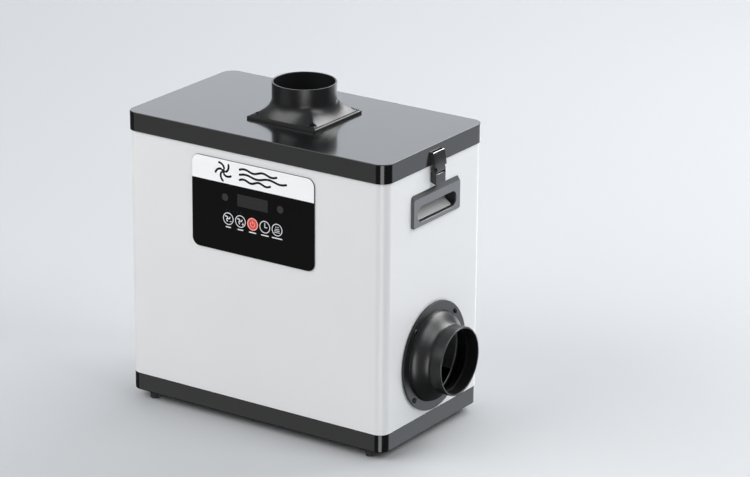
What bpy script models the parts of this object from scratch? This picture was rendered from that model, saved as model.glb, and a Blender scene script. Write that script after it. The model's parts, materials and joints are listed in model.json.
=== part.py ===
"""Desktop fume extractor for a laser engraver, as an assembly of separate pieces, in metres.

A white sheet-steel cabinet stands on four rubber feet between a black base tray and a black
lift-off lid. Fumes enter through the square-footed collar on the lid, pass down through the
stack of filters, and a backward-curved fan under the filters drives the air out of the flanged
collar on the right. +Z is up, the control panel faces -Y, and the floor is z = 0.

Every piece is placed from the cabinet's centre line. The empty `cabinet` shifts that line so
that the origin is the middle of the whole footprint, latches and side collar included.
"""

from math import asin, cos, pi, radians, sin, sqrt

import bmesh
import bpy
from mathutils import Vector

# ---- overall sizes ---------------------------------------------------------------------------
WIDTH = 0.410  # lid, side to side
DEPTH = 0.232  # lid, front to back
FOOT_HEIGHT = 0.012
BASE_HEIGHT = 0.024  # visible band of the base tray
SHELL_VISIBLE = 0.339  # white wall between base and lid
LID_HEIGHT = 0.0255
CORNER_RADIUS = 0.017  # of the lid, seen from above

# ---- sheet metal and fits ----------------------------------------------------------------------
GAP = 0.0003  # between pieces that touch
LID_SHEET = 0.0012
LID_CLEARANCE = 0.0007  # lid skirt to shell
SHEET = 0.0015  # shell, base tray and deck
SHELL_INSET = LID_SHEET + LID_CLEARANCE  # the shell stands this far inside the lid's outline
BASE_UPSTAND = 0.012  # part of the base tray hidden inside the shell
RIM_FLANGE = 0.012  # the shell's top edge, folded inwards
EDGE_ROUND = 0.0014  # along the lid's top edge
GASKET_HEIGHT = 0.007
CORNER_STEPS = 6
ROUND_STEPS = 40
MOTOR_STEPS = 28
SMALL_STEPS = 16
SCREW_STEPS = 10

BASE_BOTTOM = FOOT_HEIGHT
BASE_TOP = BASE_BOTTOM + BASE_HEIGHT
LID_BOTTOM = BASE_TOP + SHELL_VISIBLE
LID_TOP = LID_BOTTOM + LID_HEIGHT
LID_CEILING = LID_TOP - LID_SHEET
SHELL_TOP = LID_CEILING - GASKET_HEIGHT - 2 * GAP
SIDE_FACE = WIDTH / 2 - SHELL_INSET  # outer faces of the shell
FRONT_FACE = DEPTH / 2 - SHELL_INSET
SIDE_WALL = SIDE_FACE - SHEET  # inner faces of the shell
FRONT_WALL = FRONT_FACE - SHEET

# ---- feet ------------------------------------------------------------------------------------
FOOT_RADIUS = 0.006
FOOT_FROM_SIDE = 0.031
FOOT_FROM_FRONT = 0.0155
FOOT_STUD_RADIUS = 0.003
FOOT_STUD_HOLE = FOOT_STUD_RADIUS + GAP
FOOT_STUD_UP = 0.006
FOOT_TREAD_IN = 0.0008  # the tread is this much smaller than the foot
FOOT_EDGE_IN = 0.0003
FOOT_EDGE_UP = 0.0014

# ---- filter bay and its deck -------------------------------------------------------------------
DECK_HEIGHT = 0.166  # underside of the deck above the floor
BAY_GRIP_GAP = 0.0061  # to the pockets of the grips
BAY_BOARD_GAP = 0.0103  # to the control board in front
BAY_BACK_GAP = 0.0036
BAY_HEADROOM = 0.0454  # over the coarse mat, where the fumes spread out
BAY_SHEET = 0.0012
BAY_FOOT_FLANGE = 0.010
BAY_CORNER = 0.004
FILTER_SIDE_GAP = 0.002
FILTER_GAP = 0.001
PLEATED_HEIGHT = 0.064
MEDIUM_HEIGHT = 0.030
PREFILTER_HEIGHT = 0.012
FRAME_WALL = 0.008
MEDIA_DROP = 0.003  # media lie this far below the edge of their frame
PLEATS = 22
PLEAT_DEPTH = 0.008

# ---- fan -----------------------------------------------------------------------------------------
FAN_RADIUS = 0.0875
FAN_OFF_CENTRE = 0.35857  # share of the free room round the wheel by which it stands back
EYE_RADIUS = 0.052
BLADE_COUNT = 7
BACK_PLATE_Z = 0.092
BACK_PLATE = 0.002
SHROUD_EDGE_Z = 0.126  # shroud at the rim of the wheel
SHROUD_EYE_Z = 0.150
SHROUD = 0.002
BLADE = 0.0022
ROTOR_RADIUS = 0.044
ROTOR_HEIGHT = 0.040
ROTOR_WALL = 0.003
SHAFT_RADIUS = 0.004
SHAFT_CLEARANCE = 0.0002
STATOR_FLANGE_RADIUS = 0.040
STATOR_FLANGE = 0.006
STATOR_GAP = 0.001
STATOR_DROP = 0.014  # motor's base below the back plate
STATOR_BOSS = 0.014
BRACKET_SHEET = 0.0025
BRACKET_WIDTH = 0.100
BRACKET_DEPTH = 0.086
BRACKET_FOOT = 0.022
NOZZLE_MOUTH = 0.070
NOZZLE_FLANGE = 0.008  # under the deck, round the mouth
NOZZLE_CLEARANCE = 0.002
NOZZLE_OVERLAP = 0.003  # nozzle inside the wheel's eye

# ---- side outlet: a flanged, turned adapter ------------------------------------------------------
OUTLET_ABOVE_BASE = 0.0038  # from the base tray to the flange
OUTLET_RADIUS = 0.046
OUTLET_REACH = 0.042  # shell face to rim
OUTLET_WALL = 0.0025
OUTLET_COLLAR = 0.0175
OUTLET_RIDGE = 0.0008
FLANGE_THICK = 0.003
FLANGE_EDGE = 0.0006
DOME_RADIUS = OUTLET_RADIUS + 0.0145
OUTLET_SCREW_CIRCLE = DOME_RADIUS + 0.0065
FLANGE_RADIUS = OUTLET_SCREW_CIRCLE + 0.0062
OUTLET_Z = BASE_TOP + OUTLET_ABOVE_BASE + FLANGE_RADIUS
OUTLET_GASKET = 0.001

# ---- lid inlet: a collar on a square foot -------------------------------------------------------
INLET_RADIUS = 0.0425
INLET_HEIGHT = 0.0475
INLET_COLLAR = 0.0215
INLET_WALL = 0.0022
INLET_FOOT = 2 * (INLET_RADIUS + 0.0115)
INLET_FOOT_THICK = 0.004
INLET_FOOT_EDGE = 0.0008
INLET_FOOT_CORNER = 0.0015
INLET_FOOT_LIP = 0.003
INLET_SCREW = INLET_FOOT / 2 - 0.008
INLET_FLARE_STEPS = 6

# ---- screws ------------------------------------------------------------------------------------
SCREW_RADIUS = 0.0019
SCREW_HEAD_RADIUS = 0.0033
SCREW_HEAD = 0.0020
SCREW_SOCKET = 0.0013
SCREW_LENGTH = 0.009
SCREW_HOLE = SCREW_RADIUS + GAP

# ---- grips -----------------------------------------------------------------------------------
GRIP_WIDTH = 0.110
GRIP_HEIGHT = 0.044
GRIP_BOTTOM = LID_BOTTOM - 0.075
GRIP_STAND = 0.004  # frame proud of the shell
GRIP_TOP_SLOPE = 0.0055
GRIP_EDGE = 0.0015
GRIP_SLOT_WIDTH = 0.089
GRIP_SLOT_HEIGHT = 0.0205
GRIP_SLOT_BOTTOM = GRIP_BOTTOM + 0.0065
GRIP_SLOT_ROUND = 0.009
GRIP_FLOOR_ROUND = 0.004
GRIP_DEPTH = 0.024  # pocket, from the shell's face inwards
GRIP_WALL = 0.002

# ---- latches, measured from the shell's side face and from the pin -----------------------------
LATCH_PIN_OUT = 0.0051
LATCH_PIN_Z = LID_BOTTOM - 0.008
LATCH_PIN_RADIUS = 0.0015
LATCH_PIN_HEAD = 0.0024
LATCH_PIN_HEAD_THICK = 0.0008
KNUCKLE_RADIUS = 0.0042
LATCH_TOP_Z = LID_BOTTOM + 0.017
LATCH_TOP_OUT = 0.0033  # lever's outer face at its top, from the lid's face
LATCH_SHEET = 0.0012
LEVER_HALF = 0.0128
KNUCKLE_HALF = 0.0093
EAR_RADIUS = 0.0038
BRACKET_HALF = 0.0110
BRACKET_OUT = 0.0087
BRACKET_LOW = 0.0180  # bracket's lower edge below the pin
BRACKET_SLOPE = 0.0028
LEVER_SHOULDER = 0.0050  # above the pin, where the lever widens
CHEEK_SHOULDER = 0.0090  # above the pin, where the cheeks reach their full depth
CHEEK_IN = 0.0002  # behind the lever's face
CLAW = 0.0008
CLAW_HALF = 0.005
KEEPER_HALF = 0.007
KEEPER_OUT = 0.0015
KEEPER_TOP = LID_BOTTOM + 0.0116
KEEPER_HEIGHT = 0.0076
ARC_STEPS = 8

# ---- control panel -----------------------------------------------------------------------------
PANEL_WIDTH = 0.193
PANEL_HEIGHT = 0.125
PANEL_BOTTOM = LID_BOTTOM - 0.137
PANEL_THICK = 0.0012
PANEL_CORNER = 0.012
KEY_COUNT = 5
KEY_PITCH = 0.0193
KEY_Z = PANEL_BOTTOM + 0.046
KEY_RADIUS = 0.0085
DISPLAY_WIDTH = 0.048
DISPLAY_HEIGHT = 0.0164
DISPLAY_Z = PANEL_BOTTOM + 0.0744
DISPLAY_DEPTH = 0.007
WINDOW_WIDTH = 0.116  # hole in the shell behind the panel
WINDOW_BOTTOM = PANEL_BOTTOM + 0.032
WINDOW_TOP = WINDOW_BOTTOM + 0.054
BOARD_WIDTH = WINDOW_WIDTH + 0.012
BOARD_BOTTOM = WINDOW_BOTTOM - 0.008
BOARD_TOP = WINDOW_TOP + 0.008
BOARD_THICK = 0.0016
BOARD_BACK = 0.0105  # board behind the shell's inner face
SPRING_RADIUS = 0.0055
POST_RADIUS = 0.003

# ---- mains fittings on a recessed plate in the back --------------------------------------------
SERVICE_SIDE_GAP = 0.0216  # from the shell's side to the plate
SERVICE_Z = 0.092
SERVICE_WIDTH = 0.110
SERVICE_X = -(SIDE_WALL - SERVICE_SIDE_GAP - SERVICE_WIDTH / 2)
SERVICE_HEIGHT = 0.070
SERVICE_LAP = 0.010  # plate behind the edge of its opening
SOCKET_X = SERVICE_X - 0.022
SOCKET_WIDTH = 0.0274
SOCKET_HEIGHT = 0.0200
SOCKET_FLANGE = 0.004
SOCKET_DEPTH = 0.022
SOCKET_POCKET = 0.016
SOCKET_WALL = 0.0018
SWITCH_X = SERVICE_X + 0.026
SWITCH_WIDTH = 0.019
SWITCH_HEIGHT = 0.0280
SWITCH_FLANGE = 0.002
SWITCH_DEPTH = 0.016
SWITCH_WALL = 0.0015
ROCKER_CLEARANCE = 0.0004
ROCKER_TILT = radians(9.0)
FITTING_STAND = 0.0016  # flanges proud of the plate

# ---- power supply --------------------------------------------------------------------------------
SUPPLY_WIDTH = 0.078
SUPPLY_DEPTH = 0.130
SUPPLY_HEIGHT = 0.038
SUPPLY_SIDE_GAP = 0.0126  # from the shell's side
SUPPLY_X = -(SIDE_WALL - SUPPLY_SIDE_GAP - SUPPLY_WIDTH / 2)
SUPPLY_Y = -0.020
CABLE_RADIUS = 0.0022

# ---- what follows from the sizes above -----------------------------------------------------------
STATOR_BASE_Z = BACK_PLATE_Z - STATOR_DROP
FAN_Y = FAN_OFF_CENTRE * (FRONT_WALL - FAN_RADIUS)
BAY_WIDTH = 2 * (SIDE_FACE - GRIP_DEPTH - GRIP_WALL - BAY_GRIP_GAP)
BAY_FRONT_GAP = BOARD_BACK + BOARD_THICK / 2 + BAY_BOARD_GAP
BAY_DEPTH = 2 * FRONT_WALL - BAY_BACK_GAP - BAY_FRONT_GAP
BAY_CENTRE_Y = (BAY_FRONT_GAP - BAY_BACK_GAP) / 2
FILTER_FLOOR = DECK_HEIGHT + SHEET + GAP + BAY_SHEET + GAP
FILTER_WIDTH = BAY_WIDTH - 2 * (BAY_SHEET + FILTER_SIDE_GAP)
FILTER_DEPTH = BAY_DEPTH - 2 * (BAY_SHEET + FILTER_SIDE_GAP)
UPPER_FILTERS = PLEATED_HEIGHT + MEDIUM_HEIGHT + PREFILTER_HEIGHT + 3 * FILTER_GAP
CARBON_HEIGHT = SHELL_TOP - BAY_HEADROOM - FILTER_FLOOR - UPPER_FILTERS  # takes what is left

FINISHES = {  # colour, roughness, metallic
    "white_paint": ((0.80, 0.80, 0.80), 0.45, 0.0),
    "black_paint": ((0.035, 0.037, 0.042), 0.35, 0.1),
    "black_plastic": ((0.025, 0.026, 0.028), 0.40, 0.0),
    "grip_plastic": ((0.170, 0.180, 0.190), 0.50, 0.0),
    "panel_film": ((0.010, 0.010, 0.011), 0.20, 0.0),
    "rubber": ((0.015, 0.015, 0.016), 0.80, 0.0),
    "foam": ((0.030, 0.030, 0.032), 0.95, 0.0),
    "zinc_steel": ((0.55, 0.56, 0.58), 0.40, 0.9),
    "black_steel": ((0.040, 0.041, 0.044), 0.40, 0.6),
    "spring_steel": ((0.50, 0.50, 0.51), 0.30, 1.0),
    "die_cast": ((0.62, 0.63, 0.64), 0.45, 0.9),
    "filter_media": ((0.82, 0.83, 0.80), 0.95, 0.0),
    "filter_carbon": ((0.030, 0.030, 0.030), 0.90, 0.0),
    "filter_mat": ((0.74, 0.76, 0.78), 0.98, 0.0),
    "board": ((0.020, 0.120, 0.060), 0.50, 0.0),
    "display": ((0.050, 0.050, 0.055), 0.25, 0.0),
    "switch_red": ((0.550, 0.030, 0.020), 0.35, 0.0),
    "cable_sheath": ((0.020, 0.020, 0.022), 0.60, 0.0),
}


# ---- Blender helpers -----------------------------------------------------------------------------
def finish(name):
    """The material of that name, made the first time it is asked for."""
    material = bpy.data.materials.get(name)
    if material is None:
        colour, roughness, metallic = FINISHES[name]
        material = bpy.data.materials.new(name)
        material.use_nodes = True
        shader = material.node_tree.nodes["Principled BSDF"]
        shader.inputs["Base Color"].default_value = (*colour, 1.0)
        shader.inputs["Roughness"].default_value = roughness
        shader.inputs["Metallic"].default_value = metallic
    return material


def add_empty(name, location, parent=None):
    empty = bpy.data.objects.new(name, None)
    empty.location = location
    empty.parent = parent
    bpy.context.scene.collection.objects.link(empty)
    return empty


def add_object(name, mesh, parent, location=(0, 0, 0), rotation=(0, 0, 0), surface=None):
    obj = bpy.data.objects.new(name, mesh)
    obj.location = location
    obj.rotation_euler = rotation
    obj.parent = parent
    bpy.context.scene.collection.objects.link(obj)
    if surface and not mesh.materials:
        mesh.materials.append(finish(surface))
    return obj


def helper(name, mesh, parent, location=(0, 0, 0), rotation=(0, 0, 0)):
    """A cutter, or a shape that another object takes in. It isn't a piece of its own."""
    obj = add_object(name, mesh, parent, location, rotation)
    obj.hide_render = True
    obj.display_type = "WIRE"
    return obj


def combine(obj, others, operation):
    for other in others:
        modifier = obj.modifiers.new(other.name, "BOOLEAN")
        modifier.operation = operation
        modifier.solver = "EXACT"
        modifier.object = other


def cut(obj, *cutters):
    combine(obj, cutters, "DIFFERENCE")


def join(obj, *shapes):
    combine(obj, shapes, "UNION")


# ---- meshes --------------------------------------------------------------------------------------
def loft(rings, closed=False, smooth_under=radians(35)):
    """Joins each ring of points to the next. The end rings are filled, or joined if closed."""
    bm = bmesh.new()
    rows = [[bm.verts.new(point) for point in ring] for ring in rings]
    count = len(rows[0])
    pairs = list(zip(rows, rows[1:]))
    if closed:
        pairs.append((rows[-1], rows[0]))
    else:
        bm.faces.new(reversed(rows[0]))
        bm.faces.new(rows[-1])
    for low, high in pairs:
        for i in range(count):
            j = (i + 1) % count
            bm.faces.new((low[i], low[j], high[j], high[i]))
    bmesh.ops.recalc_face_normals(bm, faces=bm.faces)
    mesh = bpy.data.meshes.new("piece")
    bm.to_mesh(mesh)
    bm.free()
    mesh.shade_smooth()
    mesh.set_sharp_from_angle(angle=smooth_under)
    return mesh


def circle(radius, z, steps=ROUND_STEPS):
    turns = [2 * pi * i / steps for i in range(steps)]
    return [(radius * cos(a), radius * sin(a), z) for a in turns]


def turned(profile, closed=False, steps=ROUND_STEPS):
    """A turned shape about Z, from (radius, z) points that run up its outer side."""
    return loft([circle(radius, z, steps) for radius, z in profile], closed)


def rounded_rectangle(width, depth, radius, z=0.0, centre=(0.0, 0.0), steps=CORNER_STEPS):
    points = []
    for quarter, (sx, sy) in enumerate(((1, 1), (-1, 1), (-1, -1), (1, -1))):
        x = centre[0] + sx * (width / 2 - radius)
        y = centre[1] + sy * (depth / 2 - radius)
        for step in range(steps + 1):
            angle = (quarter + step / steps) * pi / 2
            points.append((x + radius * cos(angle), y + radius * sin(angle), z))
    return points


def outline(inset, z):
    """The cabinet's rounded outline, this far inside the lid's own."""
    radius = max(CORNER_RADIUS - inset, 0.001)
    return rounded_rectangle(WIDTH - 2 * inset, DEPTH - 2 * inset, radius, z)


def block(width, depth, height, radius=None):
    """A box about its centre, upright corners rounded if a radius is given."""
    if radius is None:
        ring = [(sx * width / 2, sy * depth / 2) for sx, sy in ((1, 1), (-1, 1), (-1, -1), (1, -1))]
        return loft([[(x, y, z) for x, y in ring] for z in (-height / 2, height / 2)])
    return loft([rounded_rectangle(width, depth, radius, z) for z in (-height / 2, height / 2)])


def rod(radius, length, steps=SMALL_STEPS):
    """A plain cylinder about its centre, along Z."""
    return turned([(radius, -length / 2), (radius, length / 2)], steps=steps)


def slab(points, half):
    """An outline of (x, z) points, extruded to both sides of y = 0."""
    return loft([[(x, y, z) for x, z in points] for y in (-half, half)])


def arc(radius, start, end, centre=(0.0, 0.0), steps=ARC_STEPS):
    """Points of an arc between two angles in degrees, ends included."""
    angles = [radians(start + (end - start) * i / steps) for i in range(steps + 1)]
    return [(centre[0] + radius * cos(a), centre[1] + radius * sin(a)) for a in angles]


ALONG_X = (0, pi / 2, 0)  # turns a shape's +Z to +X
ALONG_Y = (-pi / 2, 0, 0)  # turns a shape's +Z to +Y


# ---- cabinet ---------------------------------------------------------------------------------------
def foot_places():
    x = WIDTH / 2 - FOOT_FROM_SIDE
    y = DEPTH / 2 - FOOT_FROM_FRONT
    return {
        "foot_front_left": (-x, -y),
        "foot_front_right": (x, -y),
        "foot_back_left": (-x, y),
        "foot_back_right": (x, y),
    }


def make_feet(parent):
    mesh = turned(
        [
            (FOOT_RADIUS - FOOT_TREAD_IN, 0.0),
            (FOOT_RADIUS - FOOT_EDGE_IN, FOOT_EDGE_UP),
            (FOOT_RADIUS, FOOT_HEIGHT - GAP),
            (FOOT_STUD_RADIUS, FOOT_HEIGHT - GAP),
            (FOOT_STUD_RADIUS, FOOT_HEIGHT + FOOT_STUD_UP),
        ],
        steps=SMALL_STEPS,
    )
    for name, (x, y) in foot_places().items():
        add_object(name, mesh, parent, (x, y, 0), surface="rubber")


def make_base(parent):
    inner = SHELL_INSET + SHEET + GAP
    rings = [
        outline(SHELL_INSET + EDGE_ROUND, BASE_BOTTOM),
        outline(SHELL_INSET, BASE_BOTTOM + EDGE_ROUND),
        outline(SHELL_INSET, BASE_TOP),
        outline(inner, BASE_TOP),
        outline(inner, BASE_TOP + BASE_UPSTAND),
        outline(inner + SHEET, BASE_TOP + BASE_UPSTAND),
        outline(inner + SHEET, BASE_BOTTOM + SHEET),
    ]
    base = add_object("base_tray", loft(rings), parent, surface="black_paint")
    hole = rod(FOOT_STUD_HOLE, 4 * SHEET)
    for name, (x, y) in foot_places().items():
        cut(base, helper(name + "_hole", hole, parent, (x, y, BASE_BOTTOM)))


def screw_circle(radius, count=4):
    """Places on a circle, the first at 45 degrees."""
    turns = [pi / 4 + 2 * pi * i / count for i in range(count)]
    return [(radius * cos(a), radius * sin(a)) for a in turns]


def make_shell(parent):
    inner = SHELL_INSET + SHEET
    rings = [
        outline(SHELL_INSET, BASE_TOP + GAP),
        outline(SHELL_INSET, SHELL_TOP),
        outline(SHELL_INSET + RIM_FLANGE, SHELL_TOP),
        outline(SHELL_INSET + RIM_FLANGE, SHELL_TOP - SHEET),
        outline(inner, SHELL_TOP - SHEET),
        outline(inner, BASE_TOP + GAP),
    ]
    shell = add_object("cabinet_shell", loft(rings, closed=True), parent, surface="white_paint")
    through = 6 * SHEET
    bore = rod(DOME_RADIUS - OUTLET_WALL, through, ROUND_STEPS)
    cut(shell, helper("outlet_hole", bore, parent, (SIDE_FACE, 0, OUTLET_Z), ALONG_X))
    pilot = rod(SCREW_HOLE, through, SCREW_STEPS)
    for i, (y, z) in enumerate(screw_circle(OUTLET_SCREW_CIRCLE)):
        place = (SIDE_FACE, y, OUTLET_Z + z)
        cut(shell, helper(f"outlet_pilot_{i + 1}", pilot, parent, place, ALONG_X))
    pocket = block(
        through,
        GRIP_SLOT_WIDTH + 2 * (GRIP_WALL + GAP),
        GRIP_SLOT_HEIGHT + 2 * (GRIP_WALL + GAP),
    )
    middle = GRIP_SLOT_BOTTOM + GRIP_SLOT_HEIGHT / 2
    for side in (-1, 1):
        cut(shell, helper(f"grip_hole_{side}", pocket, parent, (side * SIDE_FACE, 0, middle)))
    window = block(WINDOW_WIDTH, through, WINDOW_TOP - WINDOW_BOTTOM)
    place = (0, -FRONT_FACE, (WINDOW_TOP + WINDOW_BOTTOM) / 2)
    cut(shell, helper("panel_window", window, parent, place))
    opening = block(SERVICE_WIDTH - 2 * SERVICE_LAP, through, SERVICE_HEIGHT - 2 * SERVICE_LAP)
    cut(shell, helper("service_opening", opening, parent, (SERVICE_X, FRONT_FACE, SERVICE_Z)))


def make_filter_bay(parent):
    """Four sheet walls that hold the filters, with flanges under the rim and on the deck."""
    centre = (0.0, BAY_CENTRE_Y)
    low = DECK_HEIGHT + SHEET + GAP
    high = SHELL_TOP - SHEET - GAP
    reach = SHELL_INSET + SHEET + 2 * GAP

    def wall(inset, z):
        size = (BAY_WIDTH - 2 * inset, BAY_DEPTH - 2 * inset)
        return rounded_rectangle(*size, max(BAY_CORNER - inset, 0.0008), z, centre)

    rings = [
        wall(0, low),
        wall(0, high - BAY_SHEET),
        outline(reach, high - BAY_SHEET),
        outline(reach, high),
        wall(BAY_SHEET, high),
        wall(BAY_SHEET, low + BAY_SHEET),
        wall(BAY_FOOT_FLANGE, low + BAY_SHEET),
        wall(BAY_FOOT_FLANGE, low),
    ]
    add_object("filter_bay", loft(rings, closed=True), parent, surface="zinc_steel")


def make_deck(parent):
    rings = [
        outline(SHELL_INSET + SHEET + 2 * GAP, z) for z in (DECK_HEIGHT, DECK_HEIGHT + SHEET)
    ]
    deck = add_object("fan_deck", loft(rings), parent, surface="zinc_steel")
    hole = rod(NOZZLE_MOUTH - SHEET, 6 * SHEET, ROUND_STEPS)
    cut(deck, helper("deck_hole", hole, parent, (0, FAN_Y, DECK_HEIGHT)))
    nozzle_end = SHROUD_EYE_Z - NOZZLE_OVERLAP
    throat = EYE_RADIUS - NOZZLE_CLEARANCE
    drop = DECK_HEIGHT - GAP - SHEET - nozzle_end
    outer, inner = [], []
    steps = 3
    for i in range(steps + 1):  # a quarter ellipse from the throat out to the mouth
        angle = pi / 2 * i / steps
        radius = throat + (NOZZLE_MOUTH - throat) * (1 - cos(angle))
        outer.append((radius, nozzle_end + drop * sin(angle)))
        inner.append((radius - SHEET, nozzle_end + (drop + SHEET) * sin(angle)))
    flange = NOZZLE_MOUTH + NOZZLE_FLANGE
    outer += [(flange, outer[-1][1]), (flange, inner[-1][1])]
    ring = turned(outer + inner[::-1], closed=True)
    add_object("fan_nozzle", ring, parent, (0, FAN_Y, 0), surface="black_steel")


# ---- filters ---------------------------------------------------------------------------------------
def make_filters(parent):
    """Carbon at the bottom, pleats above it, then the medium filter and the coarse mat."""
    floor = FILTER_FLOOR
    stack = [
        ("carbon_filter", CARBON_HEIGHT, "filter_carbon", False),
        ("pleated_filter", PLEATED_HEIGHT, "filter_media", True),
        ("medium_filter", MEDIUM_HEIGHT, "filter_media", False),
        ("coarse_mat", PREFILTER_HEIGHT, "filter_mat", False),
    ]
    for name, height, surface, pleated in stack:
        middle = (0, BAY_CENTRE_Y, floor + height / 2)
        inner = (FILTER_WIDTH - 2 * FRAME_WALL, FILTER_DEPTH - 2 * FRAME_WALL)
        outer = rounded_rectangle(FILTER_WIDTH, FILTER_DEPTH, 0.002, steps=2)
        bore = rounded_rectangle(*inner, 0.001, steps=2)
        half = height / 2
        levels = ((outer, -half), (outer, half), (bore, half), (bore, -half))
        rings = [[(x, y, z) for x, y, _ in ring] for ring, z in levels]
        frame = add_object(name, loft(rings, closed=True), parent, middle, surface=surface)
        lap = FRAME_WALL / 4
        media_half = half - MEDIA_DROP
        if pleated:
            media = pleat_pack(inner[0] / 2 + lap, inner[1] / 2 + lap, media_half)
        else:
            media = block(inner[0] + 2 * lap, inner[1] + 2 * lap, 2 * media_half)
        join(frame, helper(name + "_media", media, parent, middle))
        floor += height + FILTER_GAP


def pleat_pack(half_width, half_depth, half_height):
    """A slab folded into V pleats above and below."""
    pitch = 2 * half_width / PLEATS
    top, bottom = [], []
    for i in range(2 * PLEATS + 1):
        x = -half_width + i * pitch / 2
        valley = 0.0 if i % 2 else PLEAT_DEPTH
        top.append((x, half_height - valley))
        bottom.append((x, -half_height + valley))
    return slab(top + bottom[::-1], half_depth)


# ---- fan -------------------------------------------------------------------------------------------
def shroud_height(radius):
    """Middle of the shroud's sheet: steep at the eye, level at the rim."""
    share = (FAN_RADIUS - radius) / (FAN_RADIUS - EYE_RADIUS)
    return SHROUD_EDGE_Z + (SHROUD_EYE_Z - SHROUD_EDGE_Z) * share**2.2


def make_fan(parent):
    hub_hole = ROTOR_RADIUS + GAP
    plate = turned(
        [
            (hub_hole, BACK_PLATE_Z),
            (FAN_RADIUS, BACK_PLATE_Z),
            (FAN_RADIUS, BACK_PLATE_Z + BACK_PLATE),
            (hub_hole, BACK_PLATE_Z + BACK_PLATE),
        ],
        closed=True,
    )
    wheel = add_object("fan_wheel", plate, parent, surface="black_plastic")
    steps = 4
    radii = [EYE_RADIUS + (FAN_RADIUS - EYE_RADIUS) * i / steps for i in range(steps + 1)]
    under = [(r, shroud_height(r) - SHROUD / 2) for r in radii]
    over = [(r, shroud_height(r) + SHROUD / 2) for r in radii]
    join(wheel, helper("fan_shroud", turned(under + over[::-1], closed=True), parent))
    blade = blade_mesh()
    for i in range(BLADE_COUNT):
        turn = (0, 0, 2 * pi * i / BLADE_COUNT)
        join(wheel, helper(f"fan_blade_{i + 1}", blade, parent, rotation=turn))


def blade_mesh():
    """One backward-curved blade, from inside the back plate to inside the shroud."""
    inner, outer, sweep = EYE_RADIUS + 0.003, FAN_RADIUS - 0.001, radians(48)
    steps = 5
    rings = []
    for i in range(steps + 1):
        share = i / steps
        radius = inner + (outer - inner) * share
        turn = -sweep * share
        centre = Vector((radius * cos(turn), radius * sin(turn), 0))
        ahead = radius + (outer - inner) * 0.01
        ahead_turn = turn - sweep * 0.01
        along = Vector((ahead * cos(ahead_turn), ahead * sin(ahead_turn), 0)) - centre
        side = Vector((-along.y, along.x, 0)).normalized() * BLADE / 2
        low, high = BACK_PLATE_Z + BACK_PLATE / 2, shroud_height(radius)
        corners = ((-1, low), (1, low), (1, high), (-1, high))
        rings.append([(*(centre + side * s).xy, z) for s, z in corners])
    return loft(rings)


def make_rotor(parent):
    """Outer rotor of the motor: a flanged cup with its shaft, pointing down into the stator."""
    low = BACK_PLATE_Z + BACK_PLATE + GAP
    high = low + ROTOR_HEIGHT
    flange = ROTOR_RADIUS + 0.006
    roof = high - ROTOR_WALL
    profile = [
        (SHAFT_RADIUS, STATOR_BASE_Z + STATOR_FLANGE / 2),
        (SHAFT_RADIUS, roof),
        (ROTOR_RADIUS - ROTOR_WALL, roof),
        (ROTOR_RADIUS - ROTOR_WALL, low),
        (flange, low),
        (flange, low + 0.002),
        (ROTOR_RADIUS, low + 0.002),
        (ROTOR_RADIUS, high - 0.002),
        (ROTOR_RADIUS - 0.002, high),
    ]
    add_object("motor_rotor", turned(profile, steps=MOTOR_STEPS), parent, surface="die_cast")


def make_stator(parent):
    bore = SHAFT_RADIUS + SHAFT_CLEARANCE
    stack_radius = ROTOR_RADIUS - ROTOR_WALL - STATOR_GAP
    low = BACK_PLATE_Z + BACK_PLATE + 0.006
    high = BACK_PLATE_Z + BACK_PLATE + ROTOR_HEIGHT - ROTOR_WALL - 0.004
    flange_top = STATOR_BASE_Z + STATOR_FLANGE
    profile = [
        (bore, STATOR_BASE_Z),
        (STATOR_FLANGE_RADIUS, STATOR_BASE_Z),
        (STATOR_FLANGE_RADIUS, flange_top),
        (STATOR_BOSS, flange_top),
        (STATOR_BOSS, low),
        (stack_radius, low),
        (stack_radius, high),
        (bore, high),
    ]
    place = (0, FAN_Y, 0)
    mesh = turned(profile, closed=True, steps=MOTOR_STEPS)
    add_object("motor_stator", mesh, parent, place, surface="die_cast")


def make_motor_bracket(parent):
    """A hat-section bridge that carries the motor on the floor of the base tray."""
    top = STATOR_BASE_Z - GAP
    floor = BASE_BOTTOM + SHEET + GAP
    half = BRACKET_WIDTH / 2
    t = BRACKET_SHEET
    right = [
        (half - t, top - t),
        (half - t, floor),
        (half + BRACKET_FOOT, floor),
        (half + BRACKET_FOOT, floor + t),
        (half, floor + t),
        (half, top),
    ]
    points = right + [(-x, z) for x, z in reversed(right)]
    mesh = slab(points, BRACKET_DEPTH / 2)
    place = (0, FAN_Y, 0)
    add_object("motor_bracket", mesh, parent, place, surface="zinc_steel")


# ---- ducts -----------------------------------------------------------------------------------------
def outlet_profile():
    """Outer side of the outlet from the flange's face to its rim, as (radius, height)."""
    neck = OUTLET_REACH - OUTLET_COLLAR
    throat = OUTLET_RADIUS - OUTLET_RIDGE
    rise = neck - FLANGE_THICK - OUTLET_GASKET
    start = FLANGE_THICK + OUTLET_GASKET
    points = []
    steps = 6
    for i in range(steps + 1):  # an S-curve: bulging at the foot, hollow at the neck
        share = i / steps
        ease = 0.5 - 0.5 * cos(pi * share)
        radius = DOME_RADIUS + (throat - DOME_RADIUS) * (0.25 * share + 0.75 * ease)
        points.append((radius, start + rise * share**0.85))
    points += [(OUTLET_RADIUS, neck + OUTLET_RIDGE), (OUTLET_RADIUS, OUTLET_REACH)]
    return points


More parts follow.
